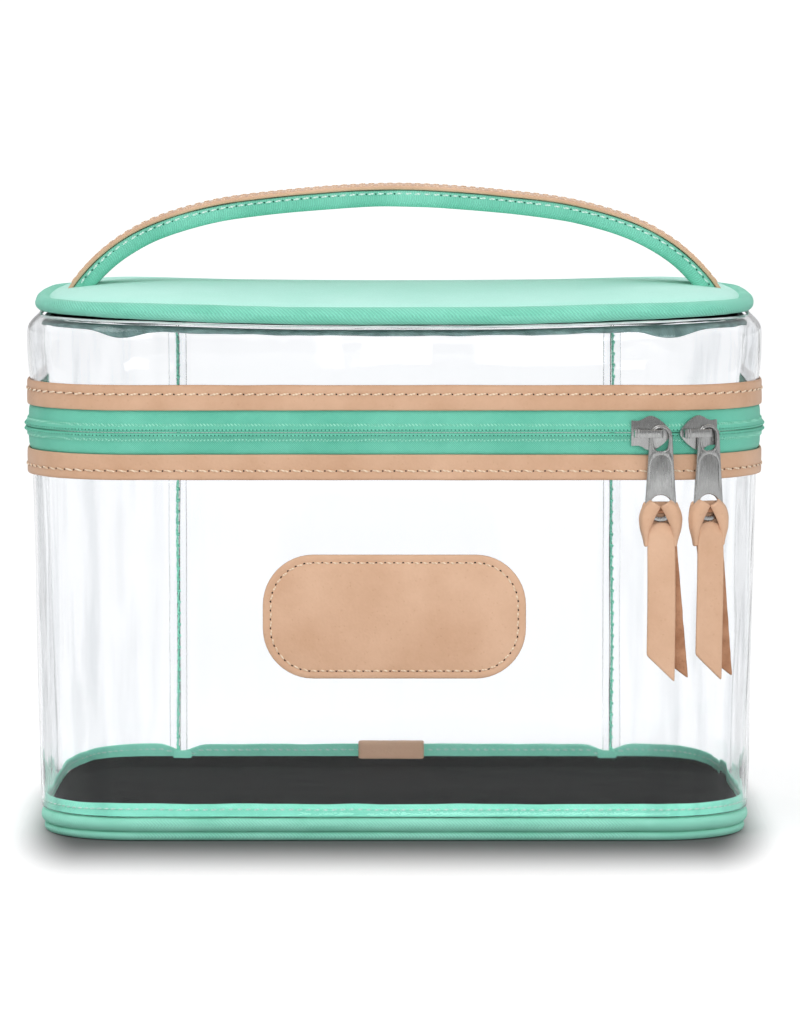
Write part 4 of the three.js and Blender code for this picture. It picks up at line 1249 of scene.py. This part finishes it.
def makeStrap():
    strap = {"reach": halfX - 13.5, "rise": 38.7, "foot": 205.0, "width": 28.0, "core": 6.6, "cover": 1.6,
             "coverWidth": 26.4, "stitch": 3.6, "stitchIn": 2.6, "buried": 203.2,
             "line": [(0, 1), (0.38, 0.915), (0.56, 0.825), (0.735, 0.645), (0.85, 0.42), (0.93, 0.165),
                      (0.975, -0.05), (1.0, -0.2)]}
    half = [Vector((x * strap["reach"], 0, strap["foot"] + z * strap["rise"])) for x, z in strap["line"]]
    knots = [Vector((-p.x, 0, p.z)) for p in reversed(half[1:])] + half
    line = []
    for i in range(len(knots) - 1):
        before, a, b, after = knots[max(i - 1, 0)], knots[i], knots[i + 1], knots[min(i + 2, len(knots) - 1)]
        t0, t1, t2 = (a - before).length ** 0.5 or 1, (b - a).length ** 0.5, (after - b).length ** 0.5 or 1
        slopeA = ((a - before) / t0 - (b - before) / (t0 + t1) + (b - a) / t1) * t1 if a != before else b - a
        slopeB = ((b - a) / t1 - (after - a) / (t1 + t2) + (after - b) / t2) * t1 if after != b else b - a
        for k in range(8):
            t = k / 8
            line.append(a * (2 * t**3 - 3 * t**2 + 1) + slopeA * (t**3 - 2 * t**2 + t)
                        + b * (3 * t**2 - 2 * t**3) + slopeB * (t**3 - t**2))
    line.append(knots[-1])
    line = [p for p in line if p.z > strap["buried"]]
    lengths = [0.0]
    for a, b in zip(line, line[1:]):
        lengths.append(lengths[-1] + (b - a).length)
    total = lengths[-1]

    def placeOn(s):
        # point, direction along, and direction up away from the lid
        s = clamp(s, 0.001, total - 0.001)
        i = max(k for k in range(len(lengths) - 1) if lengths[k] <= s)
        t = (s - lengths[i]) / (lengths[i + 1] - lengths[i])
        before, after = line[max(i - 1, 0)], line[min(i + 2, len(line) - 1)]
        mixed = (line[i + 1] - before).lerp(after - line[i], t).normalized()
        return line[i].lerp(line[i + 1], t), mixed, Vector((-mixed.z, 0, mixed.x))

    def band(name, halfWide, low, high, radius, material, replaced, steps=110, narrow=0.1):
        bm, uv = newSheet()
        roundedFace(bm, halfWide, (high - low) / 2, radius, 3)
        bmesh.ops.delete(bm, geom=bm.faces[:], context="FACES_ONLY")
        long = [e for e in bm.edges if e.calc_length() > halfWide]
        bmesh.ops.subdivide_edges(bm, edges=long, cuts=5)
        flat = [(v, v.co.x, v.co.y + (high + low) / 2) for v in bm.verts]

        def stand(v, x, y, s):
            at, along, up = placeOn(s)
            ends = 1 - narrow * (1 - ease(min(s, total - s), 0, 14))
            v.co = at + Vector((0, x * ends, 0)) + up * y
        section = {v: (x, y) for v, x, y in flat}
        for v, (x, y) in section.items():
            stand(v, x, y, 0)
        edges = bm.edges[:]
        previous = 0.0
        for i in range(1, steps + 1):
            s = total * i / steps
            fresh, faces, edges = drawOut(bm, edges)
            new = {}
            for v in fresh:
                old = next(e.other_vert(v) for e in v.link_edges if e.other_vert(v) in section)
                new[v] = section[old]
            for face in faces:
                for loop in face.loops:
                    x, y = new.get(loop.vert) or section[loop.vert]
                    across = x + math.copysign(1, x) * abs(y - (high + low) / 2)
                    loop[uv].uv = ((s if loop.vert in new else previous) * mm, across * mm)
            for v, (x, y) in new.items():
                stand(v, x, y, s)
            section, previous = new, s
        capEnds(bm)
        faceOut(bm)
        ripple(bm, 0.14, 13, halfWide)
        piece = makePiece(bm, name, material, None, replaced, level=1)
        leanWithStrap(piece)
        return piece

    core = band("strapBody", strap["width"] / 2, -strap["core"] / 2, strap["core"] / 2, 2.3, canvas,
                ["strap_core", "left_strap_end", "right_strap_end"])
    top = strap["core"] / 2 + 0.05
    band("strapLeather", strap["coverWidth"] / 2, top, top + strap["cover"], 0.6, leather,
         ["strap_leather", "left_strap_end_leather", "right_strap_end_leather"])

    # stitches down both long edges, on the leather's face and in the canvas under it
    def placesAlong(short):
        # a function of pitch that gives the stitches' places, this short of both ends
        def places(pitch):
            count = round((total - 2 * short) / pitch)
            for i in range(count):
                yield placeOn(short + (total - 2 * short) * (i + 0.5) / count)
        return places

    for word, side in (("Front", -1), ("Back", 1)):
        def facePoints(pitch, side=side):
            for at, along, up in placesAlong(4)(pitch):
                across = Vector((0, side * (strap["coverWidth"] / 2 - strap["stitchIn"]), 0))
                yield at + across + up * (top + strap["cover"]), along, up
        for piece in seamRow(f"strapStitches{word}", facePoints, strap["stitch"], creamThread, None,
                             holes=needleHoleShade):
            leanWithStrap(piece)
    for word, side in (("Front", -1), ("Back", 1)):
        def edgePoints(pitch, side=side):
            for at, along, up in placesAlong(6)(pitch):
                across = Vector((0, side * (strap["width"] / 2 - 0.28), 0))
                outward = (Vector((0, side, 0)) * 0.9 + up * 0.4).normalized()
                yield at + across + up * (strap["core"] / 2 - 1.5), along, outward
        # their holes are dark discs of painted shade
        for piece in seamRow(f"strapEdgeThread{word}", edgePoints, strap["stitch"], paleThread, None,
                             length=0.7, tilt=0.12, width=0.85, holes=shadedMint, holeRadius=0.4):
            leanWithStrap(piece)


def leanWithStrap(piece):
    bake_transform(piece)


makeStrap()
print("strap made")


pull = {"tabX": 3.6, "tabY": 3.6, "ringDrop": 27.6}


def pullPlaces():
    # each slider's own frame: x along the zip, -y out of the case
    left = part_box("left_slider")
    leftPlace = Matrix.Translation(((left[0].x + left[1].x) / 2 / mm, -halfY, zipZ))
    axis = Vector(joints["right_tab_swing"]["axis"])
    turn = math.atan2(axis.x, -axis.y)
    pivot = Vector(joints["right_tab_swing"]["pos_m"]) / mm
    rightTurn = Matrix.Rotation(turn, 4, "Z")
    offset = rightTurn @ Vector((pull["tabX"], -pull["tabY"], 0))
    rightPlace = Matrix.Translation(pivot - offset) @ rightTurn
    return (("left", leftPlace, 1), ("right", rightPlace, -1))


def outlineFace(bm, points, y):
    # a flat face through a few points of (x, z)
    verts = [bm.verts.new((x, y, z)) for x, z in points]
    return bm.faces.new(verts)


def addBlock(bm, at, size):
    bmesh.ops.create_cube(bm, size=1, matrix=Matrix.Translation(at) @ Matrix.Diagonal((*size, 1)))


def softenEdges(bm, width, segments=2, above=35, near=None):
    # rounds off the edges sharper than an angle, all of them or those between some points
    edges = [e for e in bm.edges if len(e.link_faces) == 2 and e.calc_face_angle(0) > math.radians(above)]
    if near:
        edges = [e for e in edges if all(v in near for v in e.verts)]
    bmesh.ops.bevel(bm, geom=edges, offset=width, offset_type="OFFSET", segments=segments, profile=0.5,
                    affect="EDGES", material=-1, clamp_overlap=near is None)


def makeSlider(word, place, nose):
    slider = {"half": [(-7.6, 0), (-7.6, 4.7), (-7.35, 4.95), (-6.9, 4.78), (-4.9, 4.75), (-3.5, 5.2),
                       (-2.1, 6.1), (-0.6, 6.62), (0.6, 6.55), (2.4, 5.7), (4.6, 4.1), (6.4, 2.3),
                       (7.35, 0.95)],
              "front": -2.5, "back": 5.1, "plate": 1.4, "edge": 0.28, "barHalf": 1.55,
              "bar": [(-6.7, -1.9), (-6.7, -5.2), (-6.2, -5.9), (-5.3, -6.3), (3.4, -6.3), (4.1, -5.9),
                      (4.4, -5.2), (4.4, -1.9), (2.8, -1.9), (2.8, -4.3), (2.4, -4.7), (-4.6, -4.7),
                      (-5.1, -4.4), (-5.1, -1.9)]}
    bm = bmesh.new()
    half = slider["half"]
    shape = half + [(7.6, 0)] + [(x, -z) for x, z in reversed(half[1:])]
    for y in (slider["front"], slider["back"]):
        pushOut(bm, [outlineFace(bm, shape, y)], (0, slider["plate"], 0))
    # web between the two plates, near the nose
    addBlock(bm, (3.2, 1.7, 0), (1.6, 7.4, 0.2))
    faceOut(bm)
    softenEdges(bm, slider["edge"])
    # bridge: a flat bar bent over the tab's eye, its foot near the nose
    verts = [bm.verts.new((x * nose, y, -slider["barHalf"])) for x, y in slider["bar"]]
    moved, _ = pushOut(bm, [bm.faces.new(verts)], (0, 0, 2 * slider["barHalf"]))
    softenEdges(bm, slider["edge"], above=28.65, near=set(moved) | set(verts))
    # collar steps at the bar's tail end
    for x in (-5.9, -4.9):
        addBlock(bm, (x * nose, -5.5, 0), (0.5, 1.75, 3.5))
    setAt(bm, place @ Matrix.Diagonal((nose, 1, 1, 1)))
    faceOut(bm)
    makePiece(bm, f"{word}Slider", nickel, f"{word}_slider", [f"{word}_slider"], sharp=38)


def tabPlace(place):
    return place @ Matrix.Translation((pull["tabX"], -pull["tabY"], 0))


def arcPoints(x, z, radius, start, stop, count):
    steps = [math.radians(start + (stop - start) * i / count) for i in range(count + 1)]
    return [(x + radius * math.cos(a), z + radius * math.sin(a)) for a in steps]


def makeTab(word, place):
    tab = {"eye": 3.0, "eyeDrop": 1.1, "eyeLong": 2.8, "rim": 1.4, "ringHole": 4.2, "ring": 6.0,
           "thickness": 1.4, "frameUp": 0.32, "rimOut": 0.45, "rimThick": 0.42}
    drop, ringZ = tab["eyeDrop"], -pull["ringDrop"]
    outer = (arcPoints(0, -drop, tab["eye"] + tab["rim"], 0, 180, 14) + [(-4.75, -8), (-5.3, -17)]
             + arcPoints(0, ringZ, tab["ring"], 170, 370, 18) + [(5.3, -17), (4.75, -8)])
    eye = (arcPoints(0, -drop, tab["eye"], 0, 180, 12)
           + arcPoints(0, -drop - tab["eyeLong"], tab["eye"], 180, 360, 12))
    hole = arcPoints(0, ringZ, tab["ringHole"], 0, 345, 23)
    half = tab["thickness"] / 2
    bm = bmesh.new()

    def loop(points):
        verts = [bm.verts.new((x, -half, z)) for x, z in points]
        return [bm.edges.new((a, b)) for a, b in zip(verts, verts[1:] + verts[:1])]
    edges = loop(outer) + loop(eye) + loop(hole)
    bmesh.ops.triangle_fill(bm, edges=edges, use_beauty=True, use_dissolve=False)
    pushOut(bm, bm.faces[:], (0, tab["thickness"], 0))
    faceOut(bm)
    softenEdges(bm, 0.42, 3, 60)
    setAt(bm, tabPlace(place))
    makePiece(bm, f"{word}PullTab", nickel, f"{word}_tab", [f"{word}_pull_tab"], sharp=50)

    # side rails and arched shoulder that leave the middle of the face recessed
    rails = bmesh.new()
    face = ([(-4.15, -21.0), (-3.85, -12.0)] + arcPoints(0, -12.0, 3.85, 180, 0, 14)[1:-1]
            + [(3.85, -12.0), (4.15, -21.0)])
    rim = [(-5.0, -21.0), (-4.6, -11.0), (-4.25, -8.6), (-3.3, -6.9), (0, -6.6), (3.3, -6.9), (4.25, -8.6),
           (4.6, -11.0), (5.0, -21.0)]
    inner = [rails.verts.new((x, -half - 0.02, z)) for x, z in face]
    outerVerts = [rails.verts.new((x, -half - 0.02, z)) for x, z in reversed(rim)]
    rails.faces.new(inner + outerVerts)
    pushOut(rails, rails.faces[:], (0, -tab["frameUp"], 0))
    faceOut(rails)
    softenEdges(rails, 0.14, 2, 60)
    setAt(rails, tabPlace(place))
    makePiece(rails, f"{word}TabFrame", nickel, f"{word}_tab", sharp=50)

    # rolled rim round the eye
    rimMesh = bmesh.new()
    reach, count = tab["eye"] + tab["rimOut"], 40
    path = []
    for i in range(count):
        a = 2 * math.pi * i / count
        z = reach * math.sin(a)
        z = z - drop if z > 0 else z - drop - tab["eyeLong"] * clamp(-math.sin(a) * 1.6)
        path.append(Vector((reach * math.cos(a), -half - 0.1, z)))
    bmesh.ops.create_circle(rimMesh, segments=8, radius=tab["rimThick"], matrix=Matrix.Translation(path[0]))
    ringEdges = rimMesh.edges[:]
    for i in range(1, count + 1):
        before, at, after = path[(i - 1) % count], path[i % count], path[(i + 1) % count]
        fresh, _, ringEdges = drawOut(rimMesh, ringEdges)
        bmesh.ops.translate(rimMesh, vec=at - before, verts=fresh)
        direction, earlier = (after - at).normalized(), (at - before).normalized()
        spin = earlier.rotation_difference(direction).to_matrix()
        bmesh.ops.rotate(rimMesh, cent=at, matrix=spin, verts=fresh)
    bmesh.ops.remove_doubles(rimMesh, verts=rimMesh.verts[:], dist=0.12)
    faceOut(rimMesh)
    setAt(rimMesh, tabPlace(place))
    makePiece(rimMesh, f"{word}EyeRim", nickel, f"{word}_tab")


def leatherSheet(shapeAt, across, down):
    # a small piece of leather, placed by a function of its shares across and down, each from 0 to 1
    return gridSheet(lambda x, y: shapeAt((x + 1) / 2, (1 - y) / 2), across, down)


def along(points, t):
    # smooth way through a short list of points
    t = clamp(t, 0, 0.9999) * (len(points) - 1)
    i = int(t)
    return Vector(points[i]).lerp(Vector(points[i + 1]), ease(t - i, 0, 1) * 0.35 + (t - i) * 0.65)


def makeTassel(word, place, sway):
    centre = tabPlace(place) @ Matrix.Translation((0, 0, -pull["ringDrop"]))
    body = f"{word}_tassel"
    tassel = {"tail": 10.8, "end": -67.4, "cut": 10.4, "thickness": 1.6, "spread": 5.0}

    def hang(bm, name, material, replaced=(), solid=1.5):
        setAt(bm, centre)
        makePiece(bm, name, material, body, replaced, level=2, solid=solid)

    # two lobes of the slit strip, wrapped forward over the ring and crossing over the front tail
    outer = [(3.6, 2.3), (7.0, -0.6), (8.0, -4.4), (7.5, -8.6), (6.2, -12.4), (5.5, -15.6)]
    inner = [(0.15, 0.2), (1.2, -1.9), (2.7, -4.6), (4.2, -7.8), (5.0, -11.2), (5.2, -15.2)]
    for side, label in ((-1, "Left"), (1, "Right")):
        def lobe(u, v, side=side):
            a, b = along(outer, v), along(inner, v)
            at = a.lerp(b, u)
            bulge = math.sin(math.pi * clamp(u * 0.86 + 0.02)) ** 0.7
            y = -0.3 - 2.6 * bulge * (1 - 0.55 * ease(v, 0.55, 1))
            if u < 0.12:
                y += 0.8
            return (side * at.x, y + 0.15 * noise.noise(Vector((at.x, at.y, side * 3 + sway))), at.y)
        hang(leatherSheet(lobe, 10, 12), f"{word}Knot{label}", leather,
             [f"{word}_tassel"] if side < 0 else [])

    def backWrap(u, v):
        x = (u - 0.5) * 2
        wide = 7.6 * math.sqrt(max(1 - ((v - 0.42) / 0.75) ** 2, 0.05))
        y = 0.6 + 1.5 * math.sqrt(max(1 - x * x, 0))
        return (x * wide, y, 1.6 - v * 15)
    hang(leatherSheet(backWrap, 10, 10), f"{word}KnotBack", leather)

    # the piece inside the ring's hole, under the lobes
    def throat(u, v):
        x = (u - 0.5) * 6.8
        y = 1.6 - 3.4 * v + 0.4 * math.sin(u * math.pi)
        return (x, y, -0.4 - 2.6 * math.sin(v * math.pi) * 0.5 - 1.4 * v)
    hang(leatherSheet(throat, 6, 6), f"{word}KnotThroat", suede, solid=1.0)

    def frontTail(u, v):
        x = (u - 0.5) * tassel["tail"]
        top = -6.6 - 0.5 * math.cos(u * math.pi * 2)
        bottom = tassel["end"] + tassel["cut"] * (1 - u)
        z = top + (bottom - top) * v
        roll = 1.6 * (1 - ease(v, 0, 0.07))
        curve = 0.5 * math.sin(v * 3.0 + sway) + 0.25 * math.cos(u * math.pi * 2)
        narrow = 1 - 0.1 * (1 - ease(v, 0, 0.2))
        y = -1.75 + roll - 0.4 * curve * ease(v, 0.1, 0.5)
        return (x * narrow + 0.35 * math.sin(v * 2.4 + sway), y, z)
    hang(leatherSheet(frontTail, 8, 30), f"{word}TailFront", leather, solid=tassel["thickness"])

    splay = math.radians(tassel["spread"])

    def rearTail(u, v):
        x = (u - 0.5) * tassel["tail"]
        bottom = tassel["end"] + tassel["cut"] * (1 - u) * 0.95
        z = -9 + (bottom + 9) * v
        ragged = 0.18 * noise.noise(Vector((z / 1.5, u * 2, sway)))
        return (x * math.cos(splay) - z * math.sin(splay) + ragged - 0.4,
                1.1 - 0.5 * math.sin(v * 2.6 + sway),
                z * math.cos(splay) + x * math.sin(splay) + 0.4)
    hang(leatherSheet(rearTail, 8, 30), f"{word}TailRear", suede, solid=tassel["thickness"])


for word, place, nose in pullPlaces():
    makeSlider(word, place, nose)
    makeTab(word, place)
    makeTassel(word, place, 0.4 if word == "left" else 1.5)
print("zip pulls made")
